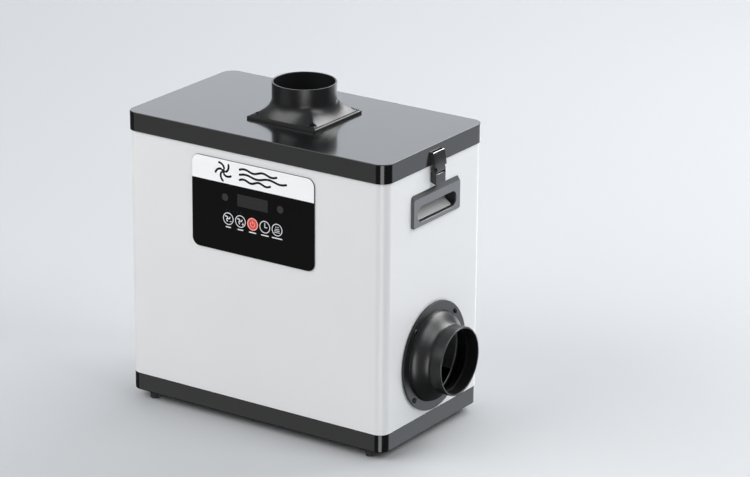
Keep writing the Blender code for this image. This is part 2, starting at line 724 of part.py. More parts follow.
def make_outlet(parent):
    outer = outlet_profile()
    inner = [(r - OUTLET_WALL, z) for r, z in outer[:-2:2] + outer[-1:]]
    base = OUTLET_GASKET + GAP
    inner[0] = (inner[0][0], base)
    face = FLANGE_THICK + OUTLET_GASKET
    foot = [
        (FLANGE_RADIUS, base),
        (FLANGE_RADIUS, face - FLANGE_EDGE),
        (FLANGE_RADIUS - FLANGE_EDGE, face),
    ]
    mesh = turned(foot + outer + inner[::-1], closed=True)
    place = (SIDE_FACE, 0, OUTLET_Z)
    adapter = add_object("outlet_adapter", mesh, parent, place, ALONG_X, "black_plastic")
    ring = turned(
        [
            (FLANGE_RADIUS - 0.001, GAP),
            (FLANGE_RADIUS - 0.001, OUTLET_GASKET),
            (DOME_RADIUS - OUTLET_WALL, OUTLET_GASKET),
            (DOME_RADIUS - OUTLET_WALL, GAP),
        ],
        closed=True,
    )
    gasket = add_object("outlet_gasket", ring, parent, place, ALONG_X, "foam")
    hole = rod(SCREW_HOLE, 4 * FLANGE_THICK, SCREW_STEPS)
    screw = screw_mesh()
    for i, (y, z) in enumerate(screw_circle(OUTLET_SCREW_CIRCLE)):
        cutter = helper(f"flange_hole_{i + 1}", hole, parent, (SIDE_FACE, y, OUTLET_Z + z), ALONG_X)
        cut(adapter, cutter)
        cut(gasket, cutter)
        seat = (SIDE_FACE + face + GAP, y, OUTLET_Z + z)
        add_object(f"outlet_screw_{i + 1}", screw, parent, seat, ALONG_X, "black_steel")


def screw_mesh():
    """A pan-head screw with a round socket. z = 0 is the underside of its head."""
    profile = [
        (SCREW_RADIUS, -SCREW_LENGTH),
        (SCREW_RADIUS, 0),
        (SCREW_HEAD_RADIUS, 0),
        (SCREW_HEAD_RADIUS * 0.8, SCREW_HEAD),
        (SCREW_SOCKET, SCREW_HEAD),
        (SCREW_SOCKET, SCREW_HEAD * 0.3),
    ]
    return turned(profile, steps=SCREW_STEPS)


def squircle(half, corner, angle):
    """Distance from the centre to a square's rounded edge in that direction."""
    x, y = abs(cos(angle)), abs(sin(angle))
    reach = half / max(x, y)
    inner = half - corner
    if min(x, y) * reach <= inner:
        return reach
    # past the straight sides, the ray meets the corner's arc about (inner, inner)
    along = inner * (x + y)
    return along + sqrt(max(along * along - 2 * inner * inner + corner * corner, 0.0))


def make_inlet(parent):
    """Collar that flares out to a square foot, hollow all the way."""
    plate_top = INLET_FOOT_THICK
    collar_low = INLET_HEIGHT - INLET_COLLAR
    half = INLET_FOOT / 2
    flare_half = half - INLET_FOOT_LIP

    def ring(z, spread, inset=0.0):
        points = []
        for i in range(ROUND_STEPS):
            angle = 2 * pi * i / ROUND_STEPS
            square = squircle(flare_half, INLET_FOOT_CORNER, angle)
            radius = INLET_RADIUS + (square - INLET_RADIUS) * spread - inset
            points.append((radius * cos(angle), radius * sin(angle), z))
        return points

    def foot_ring(z, inset):
        points = []
        for i in range(ROUND_STEPS):
            angle = 2 * pi * i / ROUND_STEPS
            radius = squircle(half - inset, INLET_FOOT_CORNER, angle)
            points.append((radius * cos(angle), radius * sin(angle), z))
        return points

    rings = [
        foot_ring(GAP, 0),
        foot_ring(plate_top - INLET_FOOT_EDGE, 0),
        foot_ring(plate_top, INLET_FOOT_EDGE),
    ]
    for i in range(INLET_FLARE_STEPS + 1):
        share = i / INLET_FLARE_STEPS
        z = plate_top + (collar_low - plate_top) * share
        rings.append(ring(z, (1 - share) ** 2.0))
    rings.append(ring(INLET_HEIGHT, 0))
    rings.append(ring(INLET_HEIGHT, 0, INLET_WALL))
    rings.append(ring(collar_low, 0, INLET_WALL))
    rings.append(circle(INLET_RADIUS - INLET_WALL, GAP))
    mesh = loft(rings, closed=True)
    place = (0, 0, LID_TOP)
    adapter = add_object("inlet_adapter", mesh, parent, place, surface="black_plastic")
    seat = INLET_FOOT_THICK + GAP
    hole = rod(SCREW_HOLE, 6 * INLET_FOOT_THICK, SCREW_STEPS)
    well = turned([(SCREW_HEAD_RADIUS + GAP, 0), (SCREW_HEAD_RADIUS + GAP, 0.02)], steps=16)
    screw = screw_mesh()
    for i, (x, y) in enumerate(screw_circle(INLET_SCREW * sqrt(2))):
        top = LID_TOP + INLET_FOOT_THICK
        cut(adapter, helper(f"inlet_hole_{i + 1}", hole, parent, (x, y, LID_TOP)))
        cut(adapter, helper(f"inlet_well_{i + 1}", well, parent, (x, y, top)))
        head = (x, y, LID_TOP + seat)
        add_object(f"inlet_screw_{i + 1}", screw, parent, head, surface="black_steel")


# ---- lid -------------------------------------------------------------------------------------------
def make_lid(parent):
    rings = [
        outline(LID_SHEET, LID_CEILING),
        outline(LID_SHEET, LID_BOTTOM),
        outline(0, LID_BOTTOM),
        outline(0, LID_TOP - EDGE_ROUND),
        outline(EDGE_ROUND * 0.3, LID_TOP - EDGE_ROUND * 0.3),
        outline(EDGE_ROUND, LID_TOP),
    ]
    lid = add_object("lid_pan", loft(rings), parent, surface="black_paint")
    bore = rod(INLET_RADIUS - INLET_WALL, 8 * LID_SHEET, ROUND_STEPS)
    cut(lid, helper("lid_hole", bore, parent, (0, 0, LID_TOP)))
    pilot = rod(SCREW_HOLE, 8 * LID_SHEET, SCREW_STEPS)
    for i, (x, y) in enumerate(screw_circle(INLET_SCREW * sqrt(2))):
        cut(lid, helper(f"lid_pilot_{i + 1}", pilot, parent, (x, y, LID_TOP)))
    low, high = SHELL_TOP + GAP, LID_CEILING - GAP
    start = SHELL_INSET + GAP
    seal = [outline(start, low), outline(start, high)]
    seal += [outline(start + RIM_FLANGE, high), outline(start + RIM_FLANGE, low)]
    add_object("lid_gasket", loft(seal, closed=True), parent, surface="foam")


def make_keeper(parent, side):
    """The ramp on the lid's skirt that the latch's claw snaps over."""
    face = LID_FACE_OUT + GAP
    top, low = KEEPER_TOP - LATCH_PIN_Z, KEEPER_TOP - KEEPER_HEIGHT - LATCH_PIN_Z
    out = face + KEEPER_OUT
    points = [
        (face, low),
        (face + 0.0006, low),
        (out, top - 0.001),
        (out, top),
        (face, top),
    ]
    mesh = slab(points, KEEPER_HALF)
    add_object(f"{side}_latch_keeper", mesh, parent, surface="black_steel")


# ---- latches: everything is placed about the pin ---------------------------------------------------
LID_FACE_OUT = SHELL_INSET - LATCH_PIN_OUT  # lid's face, outwards from the pin
SHELL_FACE_OUT = -LATCH_PIN_OUT


def lever_arc():
    """Centre and radius of the lever's face: upright at the knuckle, leaning in at the top."""
    height = LATCH_TOP_Z - LATCH_PIN_Z
    lean = KNUCKLE_RADIUS - (LID_FACE_OUT + LATCH_TOP_OUT)
    radius = (height * height + lean * lean) / (2 * lean)
    return KNUCKLE_RADIUS - radius, radius


def lever_face_at(z, inset):
    """How far out the face lies at that height over the pin."""
    centre, radius = lever_arc()
    return centre + sqrt((radius - inset) ** 2 - z * z)


def lever_face(inset):
    """Points up the lever's face."""
    centre, radius = lever_arc()
    sweep = asin((LATCH_TOP_Z - LATCH_PIN_Z) / radius)
    points = []
    for i in range(ARC_STEPS + 1):
        angle = sweep * i / ARC_STEPS
        reach = radius - inset
        points.append((centre + reach * cos(angle), reach * sin(angle)))
    return points


def make_lever(parent, side):
    outer, inner = lever_face(0), lever_face(LATCH_SHEET)
    strip = outer + inner[::-1]
    name = f"{side}_latch_lever"
    lever = add_object(name, slab(strip, KNUCKLE_HALF), parent, surface="black_steel")
    upper = [point for point in outer if point[1] >= LEVER_SHOULDER]
    upper_inner = [point for point in inner if point[1] >= LEVER_SHOULDER]
    wide = slab(upper + upper_inner[::-1], LEVER_HALF)
    join(lever, helper(f"{side}_lever_wide", wide, parent))
    back = LID_FACE_OUT + 2 * GAP
    cheek_top = outer[-1][1]
    cheek = [(x - CHEEK_IN, z) for x, z in upper]
    cheek += [(back, cheek_top), (back, CHEEK_SHOULDER), (upper[0][0] - 0.003, upper[0][1])]
    for sign in (-1, 1):
        middle = (0, sign * (LEVER_HALF - LATCH_SHEET / 2), 0)
        plate = helper(f"{side}_lever_cheek_{sign}", slab(cheek, LATCH_SHEET / 2), parent, middle)
        join(lever, plate)
    knuckle = rod(KNUCKLE_RADIUS, 2 * KNUCKLE_HALF, 24)
    join(lever, helper(f"{side}_lever_knuckle", knuckle, parent, rotation=ALONG_Y))
    bore = rod(LATCH_PIN_RADIUS + GAP, 4 * KNUCKLE_HALF)
    cut(lever, helper(f"{side}_lever_bore", bore, parent, rotation=ALONG_Y))


def make_claw(parent, side):
    """Spring-steel strip behind the lever, hooked over the keeper."""
    outer = [p for p in lever_face(LATCH_SHEET + GAP) if p[1] >= LEVER_SHOULDER]
    inner = [p for p in lever_face(LATCH_SHEET + GAP + CLAW) if p[1] >= LEVER_SHOULDER]
    hook_low = KEEPER_TOP + GAP - LATCH_PIN_Z
    hook_high = hook_low + CLAW
    outer = [p for p in outer if p[1] < hook_high]
    inner = [p for p in inner if p[1] < hook_low]
    tip = LID_FACE_OUT + 2 * GAP
    points = outer + [(lever_face_at(hook_high, LATCH_SHEET + GAP), hook_high)]
    points += [(tip, hook_high), (tip, hook_low)]
    points += [(lever_face_at(hook_low, LATCH_SHEET + GAP + CLAW), hook_low)] + inner[::-1]
    mesh = slab(points, CLAW_HALF)
    add_object(f"{side}_latch_claw", mesh, parent, surface="spring_steel")


def make_latch_bracket(parent, side):
    """Channel on the shell whose two ears hold the pin."""
    back = SHELL_FACE_OUT + GAP
    out = SHELL_FACE_OUT + BRACKET_OUT
    shelf = -KNUCKLE_RADIUS - 0.001
    ear = arc(EAR_RADIUS, 0, 150)
    points = [(back, -BRACKET_LOW + BRACKET_SLOPE), (out, -BRACKET_LOW), (out, shelf)]
    points += ear + [(back, shelf)]
    name = f"{side}_latch_bracket"
    bracket = add_object(name, slab(points, BRACKET_HALF), parent, surface="black_steel")
    inside = BRACKET_HALF - LATCH_SHEET
    hollow = block(BRACKET_OUT - 2 * LATCH_SHEET, 2 * inside, 0.05)
    middle = (SHELL_FACE_OUT + BRACKET_OUT / 2, 0, 0)
    cut(bracket, helper(f"{side}_bracket_hollow", hollow, parent, middle))
    slot = block(0.05, 2 * inside, 0.05)
    cut(bracket, helper(f"{side}_bracket_slot", slot, parent, (0, 0, shelf + 0.025)))
    bore = rod(LATCH_PIN_RADIUS + GAP / 2, 4 * BRACKET_HALF)
    cut(bracket, helper(f"{side}_bracket_bore", bore, parent, rotation=ALONG_Y))
    head_low = BRACKET_HALF + GAP
    head_high = head_low + LATCH_PIN_HEAD_THICK
    pin = turned(
        [
            (LATCH_PIN_HEAD, -head_high),
            (LATCH_PIN_HEAD, -head_low),
            (LATCH_PIN_RADIUS, -head_low),
            (LATCH_PIN_RADIUS, head_low),
            (LATCH_PIN_HEAD, head_low),
            (LATCH_PIN_HEAD, head_high),
        ],
        steps=SMALL_STEPS,
    )
    add_object(f"{side}_latch_pin", pin, parent, rotation=ALONG_Y, surface="spring_steel")


# ---- grips -----------------------------------------------------------------------------------------
def make_grip(parent, side, sign):
    """A framed pocket for the fingers. Built facing +Z and turned to face out of its wall."""
    middle = GRIP_BOTTOM + GRIP_HEIGHT / 2
    slot_middle = GRIP_SLOT_BOTTOM + GRIP_SLOT_HEIGHT / 2
    turn = (0, pi / 2, 0) if sign > 0 else (0, pi / 2, pi)
    place = (sign * SIDE_FACE, 0, middle)

    # before it is turned, -X is up the cabinet, Y runs along the wall and Z points out
    def face_ring(z, top_in, edge_in, radius):
        height = GRIP_HEIGHT - top_in - edge_in
        centre = ((top_in - edge_in) / 2, 0.0)
        return rounded_rectangle(height, GRIP_WIDTH - 2 * edge_in, radius, z, centre)

    frame = loft(
        [
            face_ring(GAP, 0, 0, 0.004),
            face_ring(0.0012, 0, 0, 0.004),
            face_ring(GRIP_STAND, GRIP_TOP_SLOPE, GRIP_EDGE, 0.003),
        ]
    )
    grip = add_object(f"{side}_grip", frame, parent, place, turn, "grip_plastic")
    slot_centre = (middle - slot_middle, 0.0)

    def slot_ring(z, grow, radius):
        size = (GRIP_SLOT_HEIGHT + 2 * grow, GRIP_SLOT_WIDTH + 2 * grow)
        return rounded_rectangle(*size, radius, z, slot_centre)

    round_in = GRIP_SLOT_ROUND
    cup = loft(
        [
            slot_ring(-GRIP_DEPTH - GRIP_WALL, GRIP_WALL - 0.002, round_in),
            slot_ring(-GRIP_DEPTH + GRIP_FLOOR_ROUND, GRIP_WALL, round_in + GRIP_WALL),
            slot_ring(GRIP_STAND / 2, GRIP_WALL, round_in + GRIP_WALL),
        ]
    )
    join(grip, helper(f"{side}_grip_cup", cup, parent, place, turn))
    pocket = loft(
        [
            slot_ring(-GRIP_DEPTH, -0.002, round_in - 0.002),
            slot_ring(-GRIP_DEPTH + GRIP_FLOOR_ROUND, 0, round_in),
            slot_ring(GRIP_STAND + 0.01, 0, round_in),
        ]
    )
    cut(grip, helper(f"{side}_grip_pocket", pocket, parent, place, turn))


# ---- control panel -----------------------------------------------------------------------------------
def key_places():
    return [(i - (KEY_COUNT - 1) / 2) * KEY_PITCH for i in range(KEY_COUNT)]


def make_panel(parent):
    film = loft(
        [rounded_rectangle(PANEL_WIDTH, PANEL_HEIGHT, PANEL_CORNER, z) for z in (0, PANEL_THICK)]
    )
    place = (0, -FRONT_FACE - GAP, PANEL_BOTTOM + PANEL_HEIGHT / 2)
    add_object("touch_panel", film, parent, place, (pi / 2, 0, 0), "panel_film")
    board_y = -FRONT_WALL + BOARD_BACK
    board_z = (BOARD_BOTTOM + BOARD_TOP) / 2
    board_mesh = block(BOARD_WIDTH, BOARD_THICK, BOARD_TOP - BOARD_BOTTOM)
    board = add_object("control_board", board_mesh, parent, (0, board_y, board_z), surface="board")
    # posts reach from the board to the shell, outside its window
    post_length = BOARD_BACK - BOARD_THICK / 2 - GAP
    post = turned([(POST_RADIUS, 0), (POST_RADIUS, post_length + 0.0004)], steps=12)
    for i, (sx, sz) in enumerate(((-1, -1), (1, -1), (-1, 1), (1, 1))):
        x = sx * (BOARD_WIDTH / 2 + WINDOW_WIDTH / 2) / 2
        z = board_z + sz * (BOARD_TOP - BOARD_BOTTOM - 2 * POST_RADIUS - 0.002) / 2
        front = board_y - BOARD_THICK / 2 + 0.0004
        join(board, helper(f"board_post_{i + 1}", post, parent, (x, front, z), (pi / 2, 0, 0)))
    front = board_y - BOARD_THICK / 2 - GAP
    room = front + FRONT_FACE
    display = block(DISPLAY_WIDTH, min(DISPLAY_DEPTH, room - GAP), DISPLAY_HEIGHT)
    place = (0, front - min(DISPLAY_DEPTH, room - GAP) / 2, DISPLAY_Z)
    add_object("display_module", display, parent, place, surface="display")
    spring = turned([(SPRING_RADIUS * 0.6, 0), (SPRING_RADIUS, room - GAP)], steps=14)
    for i, x in enumerate(key_places()):
        spot = (x, front, KEY_Z)
        name = f"touch_spring_{i + 1}"
        add_object(name, spring, parent, spot, (pi / 2, 0, 0), "spring_steel")


# ---- mains fittings ----------------------------------------------------------------------------------
def make_service_plate(parent):
    outer_y = FRONT_WALL - GAP
    plate_mesh = block(SERVICE_WIDTH, SHEET, SERVICE_HEIGHT)
    place = (SERVICE_X, outer_y - SHEET / 2, SERVICE_Z)
    plate = add_object("service_plate", plate_mesh, parent, place, surface="black_paint")
    for name, x, width, height in (
        ("socket_hole", SOCKET_X, SOCKET_WIDTH, SOCKET_HEIGHT),
        ("switch_hole", SWITCH_X, SWITCH_WIDTH, SWITCH_HEIGHT),
    ):
        hole = block(width + 2 * GAP, 6 * SHEET, height + 2 * GAP)
        cut(plate, helper(name, hole, parent, (x, outer_y, SERVICE_Z)))
    make_socket(parent, outer_y)
    make_switch_frame(parent, outer_y)


def cupped(name, parent, place, size, flange, depth, wall, stand, surface):
    """A box with a flange round its mouth, open towards +Y. `place` is on the plate's face."""
    width, height = size

    def ring(grow, z):
        return rounded_rectangle(width + 2 * grow, height + 2 * grow, 0.002, z, steps=3)

    rings = [
        ring(0, -depth),
        ring(0, GAP),
        ring(flange, GAP),
        ring(flange, stand - 0.0004),
        ring(flange - 0.0004, stand),
        ring(-wall, stand),
        ring(-wall, -depth + wall),
    ]
    return add_object(name, loft(rings), parent, place, ALONG_Y, surface)


def make_socket(parent, outer_y):
    """Mains inlet: a pocket with three flat pins."""
    place = (SOCKET_X, outer_y, SERVICE_Z)
    size = (SOCKET_WIDTH, SOCKET_HEIGHT)
    socket = cupped(
        "mains_inlet", parent, place, size, SOCKET_FLANGE, SOCKET_DEPTH, SOCKET_WALL,
        FITTING_STAND, "black_plastic",
    )
    blade = block(0.002, SOCKET_POCKET, 0.004)
    for i, (x, z) in enumerate(((-0.007, -0.002), (0, 0.002), (0.007, -0.002))):
        back = outer_y - SOCKET_DEPTH + SOCKET_WALL / 2
        spot = (SOCKET_X + x, back + SOCKET_POCKET / 2, SERVICE_Z + z)
        join(socket, helper(f"inlet_pin_{i + 1}", blade, parent, spot))


def make_switch_frame(parent, outer_y):
    place = (SWITCH_X, outer_y, SERVICE_Z)
    size = (SWITCH_WIDTH, SWITCH_HEIGHT)
    cupped(
        "switch_frame", parent, place, size, SWITCH_FLANGE, SWITCH_DEPTH, SWITCH_WALL,
        FITTING_STAND, "black_plastic",
    )


def make_rocker(parent):
    """Rocker in its off position. The joint's axis runs along X through the origin."""
    half_width = SWITCH_WIDTH / 2 - SWITCH_WALL - ROCKER_CLEARANCE
    half_height = SWITCH_HEIGHT / 2 - SWITCH_WALL - 2 * ROCKER_CLEARANCE
    proud = 0.0016
    points = [
        (0.0, -0.006),
        (half_height * 0.72, -0.0026),
        (half_height, proud),
        (0.0, proud - 0.0008),
        (-half_height, proud),
        (-half_height * 0.72, -0.0026),
    ]
    rings = [[(x, y, z) for z, y in points] for x in (-half_width, half_width)]
    rocker = add_object("power_rocker", loft(rings), parent, surface="switch_red")
    rocker.rotation_euler = (-ROCKER_TILT, 0, 0)


# ---- electrics on the floor ------------------------------------------------------------------------
def make_supply(parent):
    floor = BASE_BOTTOM + SHEET + GAP
    mesh = block(SUPPLY_WIDTH, SUPPLY_DEPTH, SUPPLY_HEIGHT, 0.002)
    place = (SUPPLY_X, SUPPLY_Y, floor + SUPPLY_HEIGHT / 2)
    add_object("power_supply", mesh, parent, place, surface="zinc_steel")


def smooth_route(points, count):
    """Evenly spread points on a Catmull-Rom curve through the given ones."""
    ends = [2 * points[0] - points[1], *points, 2 * points[-1] - points[-2]]
    route = []
    spans = len(points) - 1
    for i in range(count + 1):
        position = spans * i / count
        span = min(int(position), spans - 1)
        t = position - span
        a, b, c, d = ends[span : span + 4]
        route.append(
            0.5 * (2 * b + (c - a) * t + (2 * a - 5 * b + 4 * c - d) * t**2
                   + (3 * b - a - 3 * c + d) * t**3)
        )
    return route


def make_cable(name, parent, points, count):
    curve = bpy.data.curves.new(name, "CURVE")
    curve.dimensions = "3D"
    curve.bevel_depth = CABLE_RADIUS
    curve.bevel_resolution = 2
    curve.use_fill_caps = True
    route = smooth_route([Vector(point) for point in points], count)
    spline = curve.splines.new("POLY")
    spline.points.add(len(route) - 1)
    for point, place in zip(spline.points, route):
        point.co = (*place, 1)
    add_object(name, curve, parent)
    curve.materials.append(finish("cable_sheath"))


def make_cables(parent):
    floor = BASE_BOTTOM + SHEET + CABLE_RADIUS + 2 * GAP
    supply_right = SUPPLY_X + SUPPLY_WIDTH / 2 + GAP
    stator_low = STATOR_BASE_Z + STATOR_FLANGE / 2
    stator_left = -STATOR_FLANGE_RADIUS * 0.72 - GAP
    bracket_left = -BRACKET_WIDTH / 2
    run = bracket_left - supply_right  # the way across the tray's floor
    motor = [
        (supply_right, SUPPLY_Y + 0.035, 0.030),
        (supply_right + 0.20 * run, SUPPLY_Y + 0.035, 0.030),
        (supply_right + 0.41 * run, SUPPLY_Y + 0.040, 0.036),
        (supply_right + 0.67 * run, FAN_Y + 0.010, 0.060),
        (bracket_left - 0.002, FAN_Y + 0.024, stator_low),
        (stator_left - 0.006, FAN_Y + 0.0275, stator_low),
        (stator_left - 0.002, FAN_Y + 0.0275, stator_low),
    ]
    make_cable("motor_cable", parent, motor, 22)
    socket_back = FRONT_WALL - GAP - SOCKET_DEPTH
    mains = [
        (SOCKET_X, socket_back - GAP, SERVICE_Z),
        (SOCKET_X, socket_back - 0.010, SERVICE_Z - 0.001),
        (SOCKET_X, SUPPLY_Y + SUPPLY_DEPTH / 2 + 0.004, SERVICE_Z - 0.018),
        (SUPPLY_X + 0.002, SUPPLY_Y + SUPPLY_DEPTH / 2 - 0.012, floor + SUPPLY_HEIGHT + 0.006),
        (SUPPLY_X + 0.002, SUPPLY_Y + SUPPLY_DEPTH / 2 - 0.020, floor + SUPPLY_HEIGHT - 0.001),
    ]
    make_cable("mains_lead", parent, mains, 18)


# ---- the whole machine -----------------------------------------------------------------------------
def main():
    for obj in list(bpy.data.objects):
        bpy.data.objects.remove(obj, do_unlink=True)
    latch_reach = SIDE_FACE + LATCH_PIN_OUT + KNUCKLE_RADIUS
    outlet_reach = SIDE_FACE + OUTLET_REACH
    cabinet = add_empty("cabinet", ((latch_reach - outlet_reach) / 2, 0, 0))
    make_feet(cabinet)
    make_base(cabinet)
    make_shell(cabinet)
    make_filter_bay(cabinet)
    make_deck(cabinet)
    make_filters(cabinet)
    make_stator(cabinet)
    make_motor_bracket(cabinet)
    make_outlet(cabinet)
    make_panel(cabinet)
    make_service_plate(cabinet)
    make_supply(cabinet)
    make_cables(cabinet)

    lid = add_empty("lid", (0, 0, 0), cabinet)
    make_lid(lid)
    make_inlet(lid)

    fan = add_empty("fan_axis", (0, FAN_Y, 0), cabinet)
    make_fan(fan)
    make_rotor(fan)

    for side, sign in (("right", 1), ("left", -1)):
        make_grip(cabinet, side, sign)
        pin = (sign * (SIDE_FACE + LATCH_PIN_OUT), 0, LATCH_PIN_Z)
        axis = add_empty(f"{side}_latch_axis", pin, cabinet)
        axis.rotation_euler = (0, 0, 0 if sign > 0 else pi)
        make_latch_bracket(axis, side)
        make_lever(axis, side)
        make_claw(axis, side)
        make_keeper(axis, side)

    rocker_y = FRONT_WALL - GAP
    make_rocker(add_empty("rocker_axis", (SWITCH_X, rocker_y, SERVICE_Z), cabinet))


main()
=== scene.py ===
import json
from math import asin, atan2, cos, hypot, pi, radians, sin, sqrt

import bmesh
import bpy
from mathutils import Matrix, Vector

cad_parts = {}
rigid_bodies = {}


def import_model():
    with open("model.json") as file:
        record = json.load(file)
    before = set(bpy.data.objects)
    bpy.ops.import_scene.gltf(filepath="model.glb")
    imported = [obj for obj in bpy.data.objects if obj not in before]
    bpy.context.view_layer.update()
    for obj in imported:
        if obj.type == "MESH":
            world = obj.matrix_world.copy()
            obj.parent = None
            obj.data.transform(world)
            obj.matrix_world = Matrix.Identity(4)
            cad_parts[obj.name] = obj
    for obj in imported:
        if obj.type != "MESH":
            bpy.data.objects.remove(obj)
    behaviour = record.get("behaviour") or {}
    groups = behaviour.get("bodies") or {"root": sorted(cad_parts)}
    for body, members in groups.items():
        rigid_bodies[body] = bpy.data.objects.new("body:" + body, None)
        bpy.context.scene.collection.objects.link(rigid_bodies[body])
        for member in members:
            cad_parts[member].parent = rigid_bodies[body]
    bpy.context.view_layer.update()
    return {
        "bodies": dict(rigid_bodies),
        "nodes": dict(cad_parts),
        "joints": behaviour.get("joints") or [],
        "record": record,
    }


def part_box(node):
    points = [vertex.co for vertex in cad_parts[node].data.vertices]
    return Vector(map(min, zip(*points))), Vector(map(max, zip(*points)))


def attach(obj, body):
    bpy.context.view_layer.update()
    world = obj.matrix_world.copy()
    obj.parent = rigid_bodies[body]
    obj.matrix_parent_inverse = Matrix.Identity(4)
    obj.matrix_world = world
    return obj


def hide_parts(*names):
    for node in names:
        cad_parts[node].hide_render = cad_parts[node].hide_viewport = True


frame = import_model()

# A desktop fume extractor: white powder-coated cabinet, black lid and base, moulded black
# hose collars, grey grips, steel latches and a printed touch panel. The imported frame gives
# every place and size. Fine pieces stand for the plain ones that show. The rest are copies of
# the plain ones, welded, softened along their edges and given a finish.

MM = 0.001
NODES = frame["nodes"]


def box(node):
    low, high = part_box(node)
    return Vector(low), Vector(high)


def centre(node):
    low, high = box(node)
    return (low + high) / 2


LID_LOW, LID_HIGH = box("lid_pan")
SHELL_LOW, SHELL_HIGH = box("cabinet_shell")
BASE_LOW, BASE_HIGH = box("base_tray")
MID_X = (LID_LOW.x + LID_HIGH.x) / 2
FRONT = SHELL_LOW.y
FLOOR = 0.0

GAP = 0.3 * MM  # between pieces that touch
NEAR = 0.1 * MM  # how far off a place may be and still count as there
WELD = 0.01 * MM  # points closer than this become one
ALONG = 0.9  # a direction's share of an axis, from which it counts as along it
ACROSS = 0.1  # and up to which it counts as across it
SCREWS = range(1, 5)  # round each adapter
SCREW_HOLE = 2.2 * MM
SHEET = 1.5 * MM  # shell and base
LID_SHEET = 1.2 * MM
CORNER = 17 * MM  # of the lid, seen from above
SHELL_CORNER = CORNER - (SHELL_LOW.x - LID_LOW.x)
BASE_UPSTAND = 12 * MM  # of the base, inside the shell
BASE_TOP = BASE_HIGH.z - BASE_UPSTAND


# ---- hand work ---------------------------------------------------------------------------------
def put_down():
    """Object mode, with nothing selected."""
    if bpy.context.mode != "OBJECT":
        bpy.ops.object.mode_set(mode="OBJECT")
    bpy.ops.object.select_all(action="DESELECT")


def take(piece):
    put_down()
    piece.select_set(True)
    bpy.context.view_layer.objects.active = piece
    return piece


def edit(piece):
    take(piece)
    bpy.ops.object.mode_set(mode="EDIT")
    bpy.ops.mesh.select_all(action="DESELECT")


def settle(piece, place=(0, 0, 0), turn=(0, 0, 0)):
    """Moves and turns a piece, and leaves its object at the origin."""
    take(piece)
    piece.location = place
    piece.rotation_euler = turn
    bpy.ops.object.transform_apply(location=True, rotation=True, scale=True)
    return piece


def named(name):
    """The primitive that was just added, with its place in its mesh."""
    piece = bpy.context.object
    piece.name = name
    bpy.ops.object.transform_apply(location=True, rotation=True, scale=True)
    return piece


def pick(kind, test):
    """Selects the points, edges or faces whose middle and direction pass a test."""
    bpy.ops.mesh.select_mode(type=kind)
    bpy.ops.mesh.select_all(action="DESELECT")
    mesh = bmesh.from_edit_mesh(bpy.context.object.data)
    mesh.normal_update()
    if kind == "VERT":
        found = [v for v in mesh.verts if test(v.co, v.normal)]
    elif kind == "EDGE":
        ends = [(e, *[v.co for v in e.verts]) for e in mesh.edges]
        found = [e for e, a, b in ends if test((a + b) / 2, (b - a).normalized())]
    else:
        found = [f for f in mesh.faces if test(f.calc_center_median(), f.normal)]
    for thing in found:
        thing.select_set(True)
    mesh.select_flush_mode()
    bmesh.update_edit_mesh(bpy.context.object.data)


def face_outwards():
    bpy.ops.mesh.select_all(action="SELECT")
    bpy.ops.mesh.normals_make_consistent(inside=False)


def block(name, low, high):
    put_down()
    low, high = Vector(low), Vector(high)
    bpy.ops.mesh.primitive_cube_add(size=1, location=(low + high) / 2, scale=high - low)
    return named(name)


def rounded_block(name, low, high, radius, axis=2, segments=10):
    """A block whose four edges along one axis are rounded."""
    piece = block(name, low, high)
    edit(piece)
    pick("EDGE", lambda place, way: abs(way[axis]) > ALONG)
    bpy.ops.mesh.bevel(offset=radius, segments=segments, affect="EDGES")
    put_down()
    return piece


def cylinder(name, radius, low, high, axis=2, sides=64):
    """A cylinder between two points that lie along one axis."""
    put_down()
    low, high = Vector(low), Vector(high)
    turn = [(0, pi / 2, 0), (pi / 2, 0, 0), (0, 0, 0)][axis]
    bpy.ops.mesh.primitive_cylinder_add(
        vertices=sides, radius=radius, depth=(high - low).length, location=(low + high) / 2, rotation=turn
    )
    return named(name)


def carve(piece, *cutters, how="DIFFERENCE"):
    for cutter in cutters:
        take(piece)
        step = piece.modifiers.new("carve", "BOOLEAN")
        step.operation = how
        step.solver = "EXACT"
        step.object = cutter
        bpy.ops.object.modifier_apply(modifier=step.name)
        bpy.data.objects.remove(cutter, do_unlink=True)
    return piece


def merge(piece, *others):
    return carve(piece, *others, how="UNION")


def soften(piece, width, segments=2, angle=40):
    """Rounds every edge sharper than the angle."""
    take(piece)
    step = piece.modifiers.new("soften", "BEVEL")
    step.width = width
    step.segments = segments
    step.limit_method = "ANGLE"
    step.angle_limit = radians(angle)
    bpy.ops.object.modifier_apply(modifier=step.name)
    return piece


def thicken(piece, thickness, side=-1):
    take(piece)
    step = piece.modifiers.new("thicken", "SOLIDIFY")
    step.thickness = thickness
    step.offset = side
    step.use_even_offset = True
    bpy.ops.object.modifier_apply(modifier=step.name)
    return piece


SMOOTH_ANGLE = 32  # edges sharper than this stay crisp
MOULDED_ANGLE = 28  # the same, on the grips' mouldings
NODE_ANGLE = 35  # the same, on copies of plain nodes


def smooth(piece, angle):
    """Smooth shading in which the small faces round an edge don't bend the light on the large ones."""
    take(piece)
    bpy.ops.object.shade_smooth_by_angle(angle=radians(angle))
    step = piece.modifiers.new("weigh", "WEIGHTED_NORMAL")
    step.keep_sharp = True
    step.weight = 100
    bpy.ops.object.modifier_apply(modifier=step.name)


def join(name, pieces):
    """One object from several, each still a solid of its own."""
    put_down()
    for piece in pieces:
        piece.select_set(True)
    bpy.context.view_layer.objects.active = pieces[0]
    if len(pieces) > 1:
        bpy.ops.object.join()
    pieces[0].name = name
    return pieces[0]


